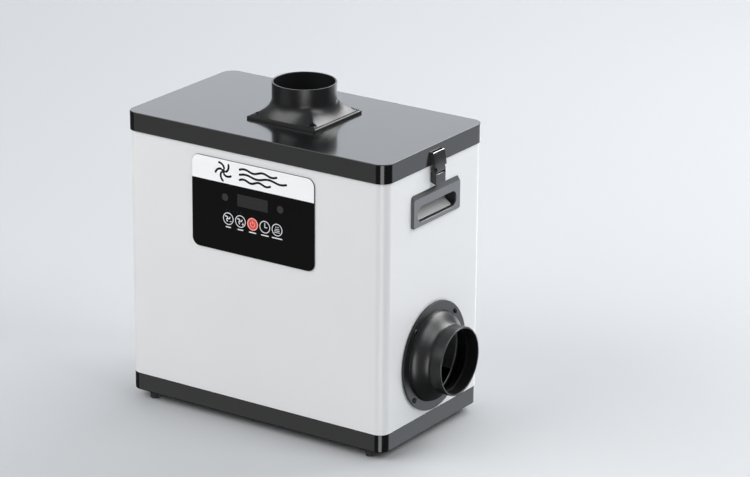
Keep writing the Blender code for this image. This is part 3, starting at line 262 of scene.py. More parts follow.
def eased(points, radius, steps=4, closed=False):
    """The same outline with its sharp corners turned into curves."""
    line = []
    for i, point in enumerate(points):
        here = Vector(point)
        if not closed and i in (0, len(points) - 1):
            line.append(here)
            continue
        back = Vector(points[i - 1]) - here
        on = Vector(points[(i + 1) % len(points)]) - here
        if back.angle(-on) < radians(18):
            line.append(here)
            continue
        reach = min(radius, back.length * 0.48, on.length * 0.48)
        start, end = here + back.normalized() * reach, here + on.normalized() * reach
        for step in range(steps + 1):
            t = step / steps
            line.append(start * (1 - t) ** 2 + here * (2 * t * (1 - t)) + end * t**2)
    return line


def turned(name, profile, closed=False, sides=96):
    """A circle drawn up through a profile of (radius, height) points, as on a wheel."""
    put_down()
    radius, height = profile[0]
    bpy.ops.mesh.primitive_circle_add(
        vertices=sides, radius=radius, location=(0, 0, height), fill_type="NOTHING"
    )
    piece = named(name)
    edit(piece)
    bpy.ops.mesh.select_all(action="SELECT")
    for next_radius, next_height in profile[1:]:
        rise = {"value": (0, 0, next_height - height)}
        bpy.ops.mesh.extrude_region_move(TRANSFORM_OT_translate=rise)
        grow = next_radius / radius
        bpy.ops.transform.resize(value=(grow, grow, 1), center_override=(0, 0, next_height))
        radius, height = next_radius, next_height
    bpy.ops.mesh.select_mode(type="EDGE")
    if closed:
        bpy.ops.mesh.select_all(action="DESELECT")
        bpy.ops.mesh.select_non_manifold()
        bpy.ops.mesh.bridge_edge_loops()
    else:
        bpy.ops.mesh.select_all(action="SELECT")
        bpy.ops.mesh.fill_holes(sides=0)
    face_outwards()
    put_down()
    return piece


def plate(name, outline, low_y, high_y):
    """A filled ring of (x, z) points, extruded along Y."""
    put_down()
    bpy.ops.mesh.primitive_circle_add(vertices=len(outline), fill_type="NGON")
    piece = named(name)
    edit(piece)
    mesh = bmesh.from_edit_mesh(piece.data)
    for corner, (x, z) in zip(mesh.verts, outline):
        corner.co = (x, low_y, z)
    bmesh.update_edit_mesh(piece.data)
    bpy.ops.mesh.select_all(action="SELECT")
    bpy.ops.mesh.extrude_region_move(TRANSFORM_OT_translate={"value": (0, high_y - low_y, 0)})
    face_outwards()
    put_down()
    return piece


def strip(name, path, width, thickness, side=-1):
    """Sheet metal bent along (x, z) points: an edge drawn from point to point, then thickened."""
    put_down()
    bpy.ops.mesh.primitive_plane_add(size=width)
    piece = named(name)
    edit(piece)
    pick("VERT", lambda place, way: place.x > 0)
    bpy.ops.mesh.delete(type="VERT")
    bpy.ops.mesh.select_all(action="SELECT")
    bpy.ops.transform.translate(value=(path[0][0] + width / 2, 0, path[0][1]))
    for (x, z), (next_x, next_z) in zip(path, path[1:]):
        move = {"value": (next_x - x, 0, next_z - z)}
        bpy.ops.mesh.extrude_region_move(TRANSFORM_OT_translate=move)
    put_down()
    return thicken(piece, thickness, side)


def copied(piece, name):
    """A copy with its own mesh."""
    take(piece)
    bpy.ops.object.duplicate()
    twin = bpy.context.object
    twin.name = name
    return twin


def mirrored(piece, name):
    """A copy on the cabinet's other side."""
    twin = copied(piece, name)
    twin.scale.x = -1
    twin.location.x = 2 * MID_X
    bpy.ops.object.transform_apply(location=True, rotation=True, scale=True)
    edit(twin)
    face_outwards()
    put_down()
    return twin


def from_node(name, node, round_off):
    """A welded copy of a plain node, with its edges rounded."""
    piece = copied(NODES[node], name)
    for key in list(piece.keys()):
        del piece[key]
    piece.parent = None
    edit(piece)
    bpy.ops.mesh.select_all(action="SELECT")
    bpy.ops.mesh.remove_doubles(threshold=WELD)
    bpy.ops.mesh.dissolve_limited(angle_limit=radians(1))
    put_down()
    if round_off:
        soften(piece, round_off, angle=NODE_ANGLE)
    return piece


def ready(piece, body, slot, finish, *nodes, angle=SMOOTH_ANGLE):
    """Shades a modelled piece, and gives it its finish, body and the nodes it stands for; the slot is not
    used.
    """
    if angle:
        smooth(piece, angle)
    piece.data.materials.clear()
    piece.data.materials.append(finish)
    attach(piece, body)
    if nodes:
        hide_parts(*nodes)
    return piece


def ready_pair(piece, left_name, slot, finish, node=None, bodies=("cabinet", "cabinet"), angle=SMOOTH_ANGLE):
    """Readies a right-hand piece and its mirrored copy for the left."""
    pair = (piece, mirrored(piece, left_name))
    for side, one, body in zip(("right", "left"), pair, bodies):
        nodes = [f"{side}_{node}"] if node else []
        ready(one, body, slot, finish, *nodes, angle=angle)
    return pair


def screw_holes(piece, family, low, high):
    """Four holes through a piece, between two places along the screws."""
    axis = 0 if family == "outlet" else 2
    for i in SCREWS:
        start, end = centre(f"{family}_screw_{i}"), centre(f"{family}_screw_{i}")
        start[axis], end[axis] = low, high
        carve(piece, cylinder("hole", SCREW_HOLE, start, end, axis, 24))


# ---- finishes ----------------------------------------------------------------------------------
class Signal:
    """A shader socket that can stand in a sum or a product."""

    def __init__(self, finish, socket):
        self.finish = finish
        self.socket = socket

    def _math(self, operation, first, second):
        return self.finish.node("ShaderNodeMath", {"operation": operation}, first, second)

    def __add__(self, other):
        return self._math("ADD", self, other)

    def __radd__(self, other):
        return self._math("ADD", other, self)

    def __mul__(self, other):
        return self._math("MULTIPLY", self, other)

    def __rmul__(self, other):
        return self._math("MULTIPLY", other, self)


class Finish:
    """A material on one Principled shader, and the nodes that feed it."""

    def __init__(self, name, colour, roughness, metallic=0.0, **fixed):
        self.material = bpy.data.materials.new(name)
        self.material.use_nodes = True
        self.tree = self.material.node_tree
        self.shader = self.tree.nodes["Principled BSDF"]
        self.colour = (*colour, 1.0)
        self.shader.inputs["Base Color"].default_value = self.colour
        self.shader.inputs["Roughness"].default_value = roughness
        self.shader.inputs["Metallic"].default_value = metallic
        for socket, value in fixed.items():
            self.shader.inputs[self.label(socket)].default_value = value

    @staticmethod
    def label(socket):
        """A socket's name on the shader, from a Python word."""
        return socket.replace("_", " ").title().replace("Ior", "IOR")

    def feed(self, socket, value):
        if isinstance(value, Signal):
            self.tree.links.new(value.socket, socket)
        else:
            socket.default_value = value

    def node(self, kind, settings, *values, out=0, **by_name):
        """Adds a node: its settings first, then what goes into its sockets."""
        node = self.tree.nodes.new(kind)
        for setting, value in settings.items():
            setattr(node, setting, value)
        for socket, value in zip(node.inputs, values):
            self.feed(socket, value)
        for socket, value in by_name.items():
            self.feed(node.inputs[socket], value)
        return Signal(self, node.outputs[out])

    def place(self, stretch=(1, 1, 1)):
        where = self.node("ShaderNodeTexCoord", {}, out=3)
        if stretch == (1, 1, 1):
            return where
        return self.node("ShaderNodeMapping", {}, where, Scale=stretch)

    def noise(self, per_metre, detail=2.0, stretch=(1, 1, 1)):
        return self.node(
            "ShaderNodeTexNoise", {}, Vector=self.place(stretch), Scale=per_metre, Detail=detail
        )

    def cells(self, per_metre, out=0, stretch=(1, 1, 1)):
        return self.node(
            "ShaderNodeTexVoronoi", {}, Vector=self.place(stretch), Scale=per_metre, out=out
        )

    def blend(self, factor, first, second):
        """Two colours, mixed by a signal."""
        mix = self.tree.nodes.new("ShaderNodeMix")
        mix.data_type = "RGBA"
        self.feed(mix.inputs[0], factor)
        self.feed(mix.inputs[6], first)
        self.feed(mix.inputs[7], second)
        return Signal(self, mix.outputs[2])

    def tint(self, factor, amount):
        """The finish's own colour, lighter and darker by a share as the signal goes from 0 to 1."""
        dark = tuple(c * (1 - amount) for c in self.colour[:3]) + (1.0,)
        light = tuple(min(c * (1 + amount), 1.0) for c in self.colour[:3]) + (1.0,)
        return self.blend(factor, dark, light)

    def drive(self, **sockets):
        for socket, value in sockets.items():
            self.feed(self.shader.inputs[self.label(socket)], value)

    def bump(self, height, depth):
        """Relief of that depth in metres."""
        relief = self.node("ShaderNodeBump", {}, Distance=depth, Height=height)
        self.feed(self.shader.inputs["Normal"], relief)


def powder_coat(name, colour, roughness, relief=0.03 * MM, **fixed):
    """Baked powder paint: faint orange peel and slow changes of tone."""
    coat = Finish(name, colour, roughness, **fixed)
    peel = coat.noise(900, 3)
    cloud = coat.noise(7, 3)
    coat.drive(base_color=coat.tint(cloud, 0.03), roughness=roughness - 0.05 + 0.06 * cloud + 0.04 * peel)
    coat.bump(peel, relief)
    return coat.material


def moulded(name, colour, roughness, relief=0.04 * MM, grain=1500, **fixed):
    """Spark-textured moulded plastic."""
    plastic = Finish(name, colour, roughness, **fixed)
    spark = plastic.noise(grain, 2)
    flow = plastic.noise(22, 3)
    plastic.drive(
        base_color=plastic.tint(flow, 0.08), roughness=roughness - 0.06 + 0.08 * flow + 0.06 * spark
    )
    plastic.bump(spark, relief)
    return plastic.material


def glossy_print(name, colour, roughness=0.22, **fixed):
    """Ink on the back of a smooth film that reflects little."""
    film = Finish(name, colour, roughness, **(fixed or {"specular_ior_level": 0.1}))
    smear = film.noise(30, 3)
    film.drive(base_color=film.tint(smear, 0.04), roughness=roughness + 0.06 * smear)
    return film.material


def rubbery(name, colour, roughness=0.75):
    rubber = Finish(name, colour, roughness)
    grain = rubber.noise(700, 3)
    rubber.drive(base_color=rubber.tint(grain, 0.12), roughness=roughness - 0.05 + 0.1 * grain)
    rubber.bump(grain, 0.08 * MM)
    return rubber.material


def cellular(name, colour):
    """Closed-cell foam strip."""
    foam = Finish(name, colour, 0.9)
    pores = foam.cells(1100)
    foam.drive(base_color=foam.tint(pores, 0.25))
    foam.bump(pores, 0.25 * MM)
    return foam.material


def galvanised(name, colour):
    """Zinc sheet with its spangle."""
    zinc = Finish(name, colour, 0.4, 0.9)
    spangle = zinc.cells(130, out=1)
    tone = zinc.node("ShaderNodeRGBToBW", {}, spangle)
    zinc.drive(base_color=zinc.tint(tone, 0.1), roughness=0.3 + 0.2 * tone)
    zinc.bump(zinc.noise(400), 0.02 * MM)
    return zinc.material


def brushed(name, colour, roughness=0.28, stretch=(1, 1, 30)):
    steel = Finish(name, colour, roughness, 1.0)
    lines = steel.noise(300, 3, stretch)
    steel.drive(base_color=steel.tint(lines, 0.08), roughness=roughness - 0.08 + 0.16 * lines)
    steel.bump(lines, 0.01 * MM)
    return steel.material


def as_cast(name, colour):
    metal = Finish(name, colour, 0.45, 0.9)
    skin = metal.noise(600, 4)
    metal.drive(base_color=metal.tint(skin, 0.1), roughness=0.38 + 0.18 * skin)
    metal.bump(skin, 0.08 * MM)
    return metal.material


def folded_paper(name, colour):
    """Filter paper with its fibres."""
    paper = Finish(name, colour, 0.95)
    fibre = paper.noise(600, 4, (1, 1, 4))
    paper.drive(base_color=paper.tint(fibre, 0.06))
    paper.bump(fibre, 0.1 * MM)
    return paper.material


def granular(name, colour):
    """Carbon granules behind a net."""
    carbon = Finish(name, colour, 0.8)
    grains = carbon.cells(260)
    carbon.drive(base_color=carbon.tint(grains, 0.5), roughness=0.55 + 0.35 * grains)
    carbon.bump(grains, 1.2 * MM)
    return carbon.material


def fleecy(name, colour):
    """Coarse fibre mat."""
    fleece = Finish(name, colour, 1.0, sheen_weight=0.25)
    strands = fleece.noise(240, 6, (1, 3, 1))
    tufts = fleece.noise(60, 3)
    fleece.drive(base_color=fleece.tint(strands, 0.14))
    fleece.bump(strands + 0.6 * tufts, 0.9 * MM)
    return fleece.material


def solder_masked(name, colour):
    """Green board with the copper's tracks showing faintly."""
    board = Finish(name, colour, 0.4)
    tracks = board.node(
        "ShaderNodeTexBrick", {"offset": 0.35}, Vector=board.place((1, 1, 1)), Scale=90.0, out=1
    )
    board.drive(base_color=board.tint(tracks, 0.3), roughness=0.3 + 0.15 * board.noise(50))
    board.bump(tracks, 0.03 * MM)
    return board.material


def sheathed(name, colour):
    sheath = Finish(name, colour, 0.5)
    grain = sheath.noise(500, 2)
    sheath.drive(base_color=sheath.tint(grain, 0.1), roughness=0.42 + 0.12 * grain)
    sheath.bump(grain, 0.02 * MM)
    return sheath.material


WHITE = powder_coat("white_powder_coat", (0.79, 0.79, 0.79), 0.40)
CHARCOAL = powder_coat("charcoal_powder_coat", (0.0055, 0.0056, 0.006), 0.14, 0.006 * MM)
COLLAR_PLASTIC = moulded("satin_black_plastic", (0.008, 0.008, 0.0085), 0.33, 0.015 * MM)
GRIP_PLASTIC = moulded("grey_plastic", (0.055, 0.058, 0.062), 0.36, coat_weight=1.0, coat_roughness=0.3)
POCKET_STEEL = powder_coat("pocket_pale_steel", (0.50, 0.51, 0.50), 0.35)
# rougher than the grip's grey and darker too: the darker colour is painted shade on the grips' top slope
MATT_SHADED_PLASTIC = moulded("matt_grey_plastic_painted_shade", (0.034, 0.036, 0.039), 0.60)
FITTING_PLASTIC = moulded("fitting_plastic", (0.014, 0.014, 0.015), 0.45)
LATCH_STEEL = powder_coat("latch_black_steel", (0.016, 0.0165, 0.0175), 0.30, 0.008 * MM)
SCREW_STEEL = brushed("blackened_screw_steel", (0.06, 0.06, 0.065), 0.32)
# bright steel, also used as the painted highlight on the latch brackets' fold
SPRING_STEEL = brushed("bright_spring_steel", (0.56, 0.56, 0.57))
PANEL_BLACK = glossy_print("panel_black_film", (0.004, 0.004, 0.0041), specular_ior_level=0.05)
PRINT_WHITE = glossy_print("panel_white_print", (0.96, 0.96, 0.965))
PRINT_INK = glossy_print("panel_black_print", (0.012, 0.012, 0.013))
PRINT_KEY = glossy_print("key_white_print", (0.80, 0.80, 0.81))
PRINT_RED = glossy_print("key_red_print", (0.72, 0.075, 0.060))
PRINT_PINK = glossy_print("key_pink_print", (0.90, 0.42, 0.38))
WINDOW = glossy_print("display_window", (0.027, 0.027, 0.028))
ROUND_WINDOW = glossy_print("sensor_window", (0.037, 0.037, 0.038))
RUBBER = rubbery("foot_rubber", (0.018, 0.018, 0.019))
FOAM = cellular("sealing_foam", (0.03, 0.03, 0.032))
ZINC = galvanised("zinc_sheet", (0.55, 0.56, 0.58))
CAST = as_cast("cast_alloy", (0.60, 0.61, 0.62))
PAPER = folded_paper("filter_paper", (0.80, 0.81, 0.78))
CARBON = granular("carbon_granules", (0.03, 0.03, 0.03))
FLEECE = fleecy("filter_fleece", (0.70, 0.72, 0.75))
BOARD = solder_masked("circuit_board", (0.02, 0.12, 0.06))
DISPLAY = glossy_print("display_glass", (0.05, 0.05, 0.055))
ROCKER_RED = glossy_print("rocker_red", (0.50, 0.025, 0.018), 0.25)
SHEATH = sheathed("cable_sheath", (0.02, 0.02, 0.022))


# ---- cabinet -------------------------------------------------------------------------------------
def make_shell():
    """Wrapped steel wall with its top edge folded in."""
    shell = rounded_block("shell", SHELL_LOW, SHELL_HIGH, SHELL_CORNER, segments=14)
    edit(shell)
    pick("FACE", lambda place, way: way.z > ALONG)
    bpy.ops.mesh.inset(thickness=12 * MM, depth=0)
    bpy.ops.mesh.delete(type="FACE")
    pick("FACE", lambda place, way: way.z < -ALONG)
    bpy.ops.mesh.delete(type="FACE")
    thicken(shell, SHEET)
    through = 6 * MM
    inside, outside = centre("outlet_adapter"), centre("outlet_adapter")
    inside.x, outside.x = SHELL_HIGH.x - through, SHELL_HIGH.x + through
    carve(shell, cylinder("hole", 58 * MM, inside, outside, 0, 96))
    for side, name in ((1, "right_grip"), (-1, "left_grip")):
        low, high = grip_slot(name)
        room = Vector((0, 2.3 * MM, 2.3 * MM))
        x = SHELL_HIGH.x if side > 0 else SHELL_LOW.x
        low, high = low - room, high + room
        low.x, high.x = x - through, x + through
        carve(shell, block("hole", low, high))
    # opening behind the display and the keys
    half, bottom, top = 58 * MM, 0.270, 0.324
    low, high = (MID_X - half, FRONT - through, bottom), (MID_X + half, FRONT + through, top)
    carve(shell, block("hole", low, high))
    plate_low, plate_high = box("service_plate")
    lap = Vector((10 * MM, 0, 10 * MM))
    low, high = plate_low + lap, plate_high - lap
    low.y, high.y = SHELL_HIGH.y - through, SHELL_HIGH.y + through
    carve(shell, rounded_block("hole", low, high, 2 * MM, axis=1, segments=4))
    screw_holes(shell, "outlet", SHELL_HIGH.x - through, SHELL_HIGH.x + through)
    ready(shell, "cabinet", "white_paint", WHITE, "cabinet_shell")


def make_base():
    """Folded tray whose rim goes up inside the shell."""
    high = Vector((BASE_HIGH.x, BASE_HIGH.y, BASE_TOP))
    base = rounded_block("base", BASE_LOW, high, SHELL_CORNER, segments=14)
    edit(base)
    pick("FACE", lambda place, way: way.z > ALONG)
    bpy.ops.mesh.inset(thickness=SHEET + GAP, depth=0)
    bpy.ops.mesh.extrude_region_move(TRANSFORM_OT_translate={"value": (0, 0, BASE_UPSTAND)})
    bpy.ops.mesh.inset(thickness=SHEET, depth=0)
    drop = -(BASE_HIGH.z - BASE_LOW.z - SHEET)
    bpy.ops.mesh.extrude_region_move(TRANSFORM_OT_translate={"value": (0, 0, drop)})
    pick("EDGE", lambda p, way: abs(way.z) < ACROSS and abs(p.z - BASE_LOW.z) < NEAR)
    bpy.ops.mesh.bevel(offset=1.4 * MM, segments=4, affect="EDGES")
    pick("EDGE", lambda p, way: at_rim(p, way, BASE_TOP, BASE_HIGH, MM))
    bpy.ops.mesh.bevel(offset=0.4 * MM, segments=2, affect="EDGES")
    put_down()
    stud_hole = 3.3 * MM
    for name in FOOT_NAMES:
        start = centre(name)
        start.z = BASE_LOW.z - 3 * MM
        carve(base, cylinder("hole", stud_hole, start, start + Vector((0, 0, 8 * MM)), 2, 32))
    ready(base, "cabinet", "black_paint", CHARCOAL, "base_tray")


def at_rim(place, way, height, corner, within):
    """Whether an edge lies level at that height and close to the outside."""
    level = abs(way.z) < ACROSS and abs(place.z - height) < NEAR
    out_x = abs(place.x - MID_X) > corner.x - MID_X - SHELL_CORNER
    out_y = abs(place.y) > corner.y - within
    near = abs(abs(place.x - MID_X) - (corner.x - MID_X)) < within
    return level and (near or out_y or (out_x and rounded_out(place, corner, within)))


def rounded_out(place, corner, within):
    """Whether a point lies on the rounded corner itself, and not on the ring inside it."""
    x = abs(place.x - MID_X) - (corner.x - MID_X - SHELL_CORNER)
    y = abs(place.y) - (corner.y - SHELL_CORNER)
    return x > 0 and y > 0 and hypot(x, y) > SHELL_CORNER - within


FOOT_NAMES = [f"foot_{a}_{b}" for a in ("front", "back") for b in ("left", "right")]


def make_feet():
    """Turned feet with a stud: one modelled, the others copied from it."""
    low, high = box(FOOT_NAMES[0])
    radius = (high.x - low.x) / 2
    top = BASE_LOW.z - GAP
    profile = [
        (radius - 2.6 * MM, 0.5 * MM),
        (radius - 2.2 * MM, 0),
        (radius - 0.8 * MM, 0),
        (radius - 0.2 * MM, 0.7 * MM),
        (radius, 3 * MM),
        (radius, top),
        (3 * MM, top),
        (3 * MM, high.z),
    ]
    model = turned("foot", eased(profile, 0.4 * MM), sides=48)
    for name in FOOT_NAMES:
        place = centre(name)
        foot = settle(copied(model, name + "_moulded"), (place.x, place.y, 0))
        ready(foot, "cabinet", "rubber", RUBBER, name)
    bpy.data.objects.remove(model, do_unlink=True)


# ---- lid -------------------------------------------------------------------------------------------
def make_lid():
    """Folded pan with a hole under the collar."""
    lid = rounded_block("lid", LID_LOW, LID_HIGH, CORNER, segments=16)
    edit(lid)
    pick("FACE", lambda place, way: way.z < -ALONG)
    bpy.ops.mesh.delete(type="FACE")
    pick("EDGE", lambda p, way: abs(way.z) < ACROSS and abs(p.z - LID_HIGH.z) < NEAR)
    bpy.ops.mesh.bevel(offset=1.0 * MM, segments=5, affect="EDGES")
    thicken(lid, LID_SHEET)
    inlet_bore, through = 40.3 * MM, 8 * MM
    low, high = Vector((MID_X, 0, LID_HIGH.z - through)), Vector((MID_X, 0, LID_HIGH.z + through))
    carve(lid, cylinder("hole", inlet_bore, low, high, 2, 96))
    screw_holes(lid, "inlet", LID_HIGH.z - 6 * MM, LID_HIGH.z + 6 * MM)
    ready(lid, "lid", "black_paint", CHARCOAL, "lid_pan")


def squared(angle, half, corner):
    """Distance from the middle of a rounded square to its edge."""
    x, y = abs(cos(angle)), abs(sin(angle))
    reach = half / max(x, y)
    inner = half - corner
    if min(x, y) * reach <= inner:
        return reach
    along = inner * (x + y)
    return along + sqrt(max(along * along - 2 * inner * inner + corner * corner, 0.0))


def make_inlet():
    """Collar that sweeps out to a square foot with a slanted border and four screw wells."""
    low, high = box("inlet_adapter")
    floor, rim = low.z, high.z
    half = (high.x - low.x) / 2
    radius, wall = 42.5 * MM, 2.2 * MM
    collar = rim - 21.5 * MM
    border = floor + 3.9 * MM
    foot_top = border + 0.6 * MM
    widest = half - 3 * MM  # of the sweep, where it meets the foot

    def flare(share):
        """How far the sweep has spread towards the square, and its height, at a share of its rise."""
        return (1 - share) ** 2.1, foot_top + (collar - foot_top) * share

    # each row: how square it is, its size there, its height
    rows = [(1.0, half, floor), (1.0, half, border - 0.9 * MM), (1.0, half - 1.6 * MM, border)]
    rows += [(1.0, half - 2.4 * MM, border), (1.0, half - 2.5 * MM, foot_top)]
    steps = 22
    for step in range(steps + 1):
        spread, z = flare(step / steps)
        rows.append((spread, widest, z))
    rows += [(0.0, 0, collar + 3 * MM), (0.0, 0, rim - 0.8 * MM)]
    sides = 128
    profile = []
    for spread, size, z in rows:
        profile.append((radius + (size - radius) * spread, z))
    rounding = 0.5 * MM
    profile += [(radius - rounding * 0.3, rim - rounding * 0.3), (radius - rounding, rim)]
    profile += [(radius - wall + rounding, rim), (radius - wall, rim - rounding), (radius - wall, floor)]
    piece = turned("inlet_collar", profile, closed=True, sides=sides)
    # the rows below the collar are pushed out from round to square
    edit(piece)
    mesh = bmesh.from_edit_mesh(piece.data)
    for corner in mesh.verts:
        reach = hypot(corner.co.x, corner.co.y)
        if corner.co.z > collar - NEAR or reach < radius - NEAR:
            continue
        angle = 2 * pi * round(sides * atan2(corner.co.y, corner.co.x) / (2 * pi)) / sides
        spread = min((reach - radius) / (widest - radius), 1.0)
        size = reach if spread >= 1.0 else widest
        # points on the square's sides crowd towards its corners
        angle += 0.2 * spread * sin(4 * angle)
        square = squared(angle, size, 1.6 * MM)
        goal = radius + (square - radius) * spread
        corner.co.x = goal * cos(angle)
        corner.co.y = goal * sin(angle)
    bmesh.update_edit_mesh(piece.data)
    put_down()
    settle(piece, (MID_X, 0, 0))
    for i in SCREWS:
        seat = centre(f"inlet_screw_{i}")
        seat.z = floor + 4 * MM
        carve(piece, cylinder("well", 4.4 * MM, seat, seat + Vector((0, 0, 20 * MM)), 2, 40))
    screw_holes(piece, "inlet", floor - 2 * MM, floor + 10 * MM)
    ready(piece, "lid", "black_plastic", COLLAR_PLASTIC, "inlet_adapter", angle=38)


# ---- screws ------------------------------------------------------------------------------------
def make_screws():
    """Pan-head screws with a cross recess: one modelled, the others copied from it."""
    head, edge, rim = 2.0 * MM, 0.7 * MM, 3.3 * MM
    crest, root, pitch = 1.9 * MM, 1.6 * MM, 0.9 * MM
    profile = [(1.2 * MM, -9 * MM), (crest, -8 * MM)]
    for ridge in range(8):
        z = -7.6 * MM + ridge * pitch
        profile += [(crest, z), (root, z + pitch / 2)]
    profile += [(crest, -0.3 * MM), (crest, 0), (rim, 0), (rim, edge)]
    for step in range(1, 6):
        bend = pi / 2 * step / 6
        profile.append((rim * cos(bend) ** 0.7, edge + (head - edge) * sin(bend)))
    model = turned("screw", profile, sides=32)
    for width, depth in ((4.0 * MM, 0.9 * MM), (0.9 * MM, 4.0 * MM)):
        low_corner = (-width / 2, -depth / 2, head - 1.0 * MM)
        high_corner = (width / 2, depth / 2, head + MM)
        carve(model, block("cross", low_corner, high_corner))
    for family, body, axis, turn in (
        ("outlet", "cabinet", 0, (0, pi / 2, 0)),
        ("inlet", "lid", 2, (0, 0, 0)),
    ):
        for i in SCREWS:
            node = f"{family}_screw_{i}"
            place = centre(node)
            place[axis] = box(node)[1][axis] - head
            screw = settle(copied(model, node + "_threaded"), turn=(0, 0, 0.5 + i))
            settle(screw, place, turn)
            ready(screw, body, "black_steel", SCREW_STEEL, node)
    bpy.data.objects.remove(model, do_unlink=True)


# ---- outlet --------------------------------------------------------------------------------------
def make_outlet():
    """Flange, dome and collar in one moulding, with a bead where the dome meets the collar."""
    low, high = box("outlet_adapter")
    wall_face = SHELL_HIGH.x
    reach = high.x - wall_face
    flange_face = 4 * MM
    collar_start = reach - 17.5 * MM
    radius, wall, dome = 46 * MM, 2.5 * MM, 60.5 * MM
    outer = [((high.z - low.z) / 2, low.x - wall_face), ((high.z - low.z) / 2, flange_face)]
    outer.append((dome + 1.2 * MM, flange_face))
    steps = 24
    for step in range(steps + 1):
        share = step / steps
        ease = 0.5 - 0.5 * cos(pi * share)
        narrow = 0.25 * share + 0.75 * ease
        x = flange_face + (collar_start - flange_face) * share**0.85
        outer.append((dome + (radius - 0.9 * MM - dome) * narrow, x))
    outer += [(radius - 0.9 * MM, collar_start + 0.5 * MM), (radius, collar_start + 1.1 * MM)]
    outer += [(radius, reach - 0.7 * MM), (radius - 0.7 * MM, reach)]
    # the bore steps in where the collar begins
    bore = radius - wall
    inner = [(bore + 0.4 * MM, reach), (bore, reach - 0.4 * MM), (bore, collar_start + 1.5 * MM)]
    inner += [(bore - 1.2 * MM, collar_start + 1.2 * MM), (bore - 1.2 * MM, collar_start - 0.5 * MM)]
    for step in range(8, -1, -1):
        share = step / 8
        ease = 0.5 - 0.5 * cos(pi * share)
        x = flange_face + (collar_start - flange_face) * share**0.85 - MM
        inner.append((dome + (radius - dome) * (0.25 * share + 0.75 * ease) - wall, x))
    inner.append((dome - wall, low.x - wall_face))
    piece = turned("outlet_collar", eased(outer, 0.5 * MM, 3) + inner, closed=True, sides=144)
    settle(piece, (wall_face, 0, (low.z + high.z) / 2), (0, pi / 2, 0))
    screw_holes(piece, "outlet", wall_face - 3 * MM, wall_face + 12 * MM)
    ready(piece, "cabinet", "black_plastic", COLLAR_PLASTIC, "outlet_adapter")


# ---- grips -----------------------------------------------------------------------------------------
def grip_slot(node):
    """Lowest and highest corner of the finger slot's mouth."""
    low, high = box(node)
    width, bottom, height = 89 * MM, low.z + 6.5 * MM, 20.5 * MM
    return Vector((low.x, -width / 2, bottom)), Vector((high.x, width / 2, bottom + height))


def make_grips():
    """Framed finger pocket: flat face, long bevel along its top, short ones on its other sides."""
    low, high = box("right_grip")
    face = SHELL_HIGH.x
    frame_low = Vector((face + GAP, low.y, low.z))
    frame = rounded_block("right_finger_grip", frame_low, high, 4 * MM, axis=0, segments=8)
    edit(frame)
    # the front face shrinks to leave the long top bevel and the short ones round it
    pick("FACE", lambda place, way: way.x > ALONG)
    bpy.ops.mesh.inset(thickness=1.2 * MM, depth=0)
    front = high.x - 0.2 * MM
    bpy.ops.transform.translate(value=(front - high.x, 0, 0))
    pick("VERT", lambda p, way: p.x > front - NEAR / 2 and p.z > high.z - 8 * MM)
    bpy.ops.transform.translate(value=(0, 0, -4.2 * MM))
    pick("VERT", lambda p, way: p.x > high.x - NEAR / 2)
    bpy.ops.transform.translate(value=(-1.0 * MM, 0, 0))
    pick("VERT", lambda p, way: abs(p.x - front) < NEAR / 2)
    bpy.ops.transform.translate(value=(high.x - front, 0, 0))
    put_down()
    slot_low, slot_high = grip_slot("right_grip")
    wall = 2 * MM
    grow = Vector((0, wall, wall))
    cup_low, cup_high = slot_low - grow, slot_high + grow
    cup_low.x, cup_high.x = low.x, face + 2 * MM
    cup = rounded_block("cup", cup_low, cup_high, 10.5 * MM, axis=0, segments=12)
    soften_floor(cup, low.x, 4 * MM)
    merge(frame, cup)
    room_low, room_high = slot_low.copy(), slot_high.copy()
    room_low.x, room_high.x = low.x + wall, high.x + 5 * MM
    room = rounded_block("room", room_low, room_high, 9 * MM, axis=0, segments=12)
    soften_floor(room, room_low.x, 4 * MM)
    carve(frame, room)
    edit(frame)
    # the slot's mouth is rounded over
    mouth = high.x - NEAR
    pick("EDGE", lambda p, way: p.x > mouth and abs(way.x) < ACROSS and in_slot(p, slot_low, slot_high))
    bpy.ops.mesh.bevel(offset=0.9 * MM, segments=3, affect="EDGES")
    put_down()
    pair = ready_pair(
        frame, "left_finger_grip", "grip_plastic", GRIP_PLASTIC, "grip", angle=MOULDED_ANGLE
    )
    # the slope along the top is left matt, and painted darker than the grip as shade
    slope_foot = high.z - 7 * MM
    for piece in pair:
        second_finish_faces(piece, lambda p, way: way.z > 0.1 and abs(way.x) > 0.5 and p.z > slope_foot, MATT_SHADED_PLASTIC)
    make_pocket(room_low, room_high, high.x)


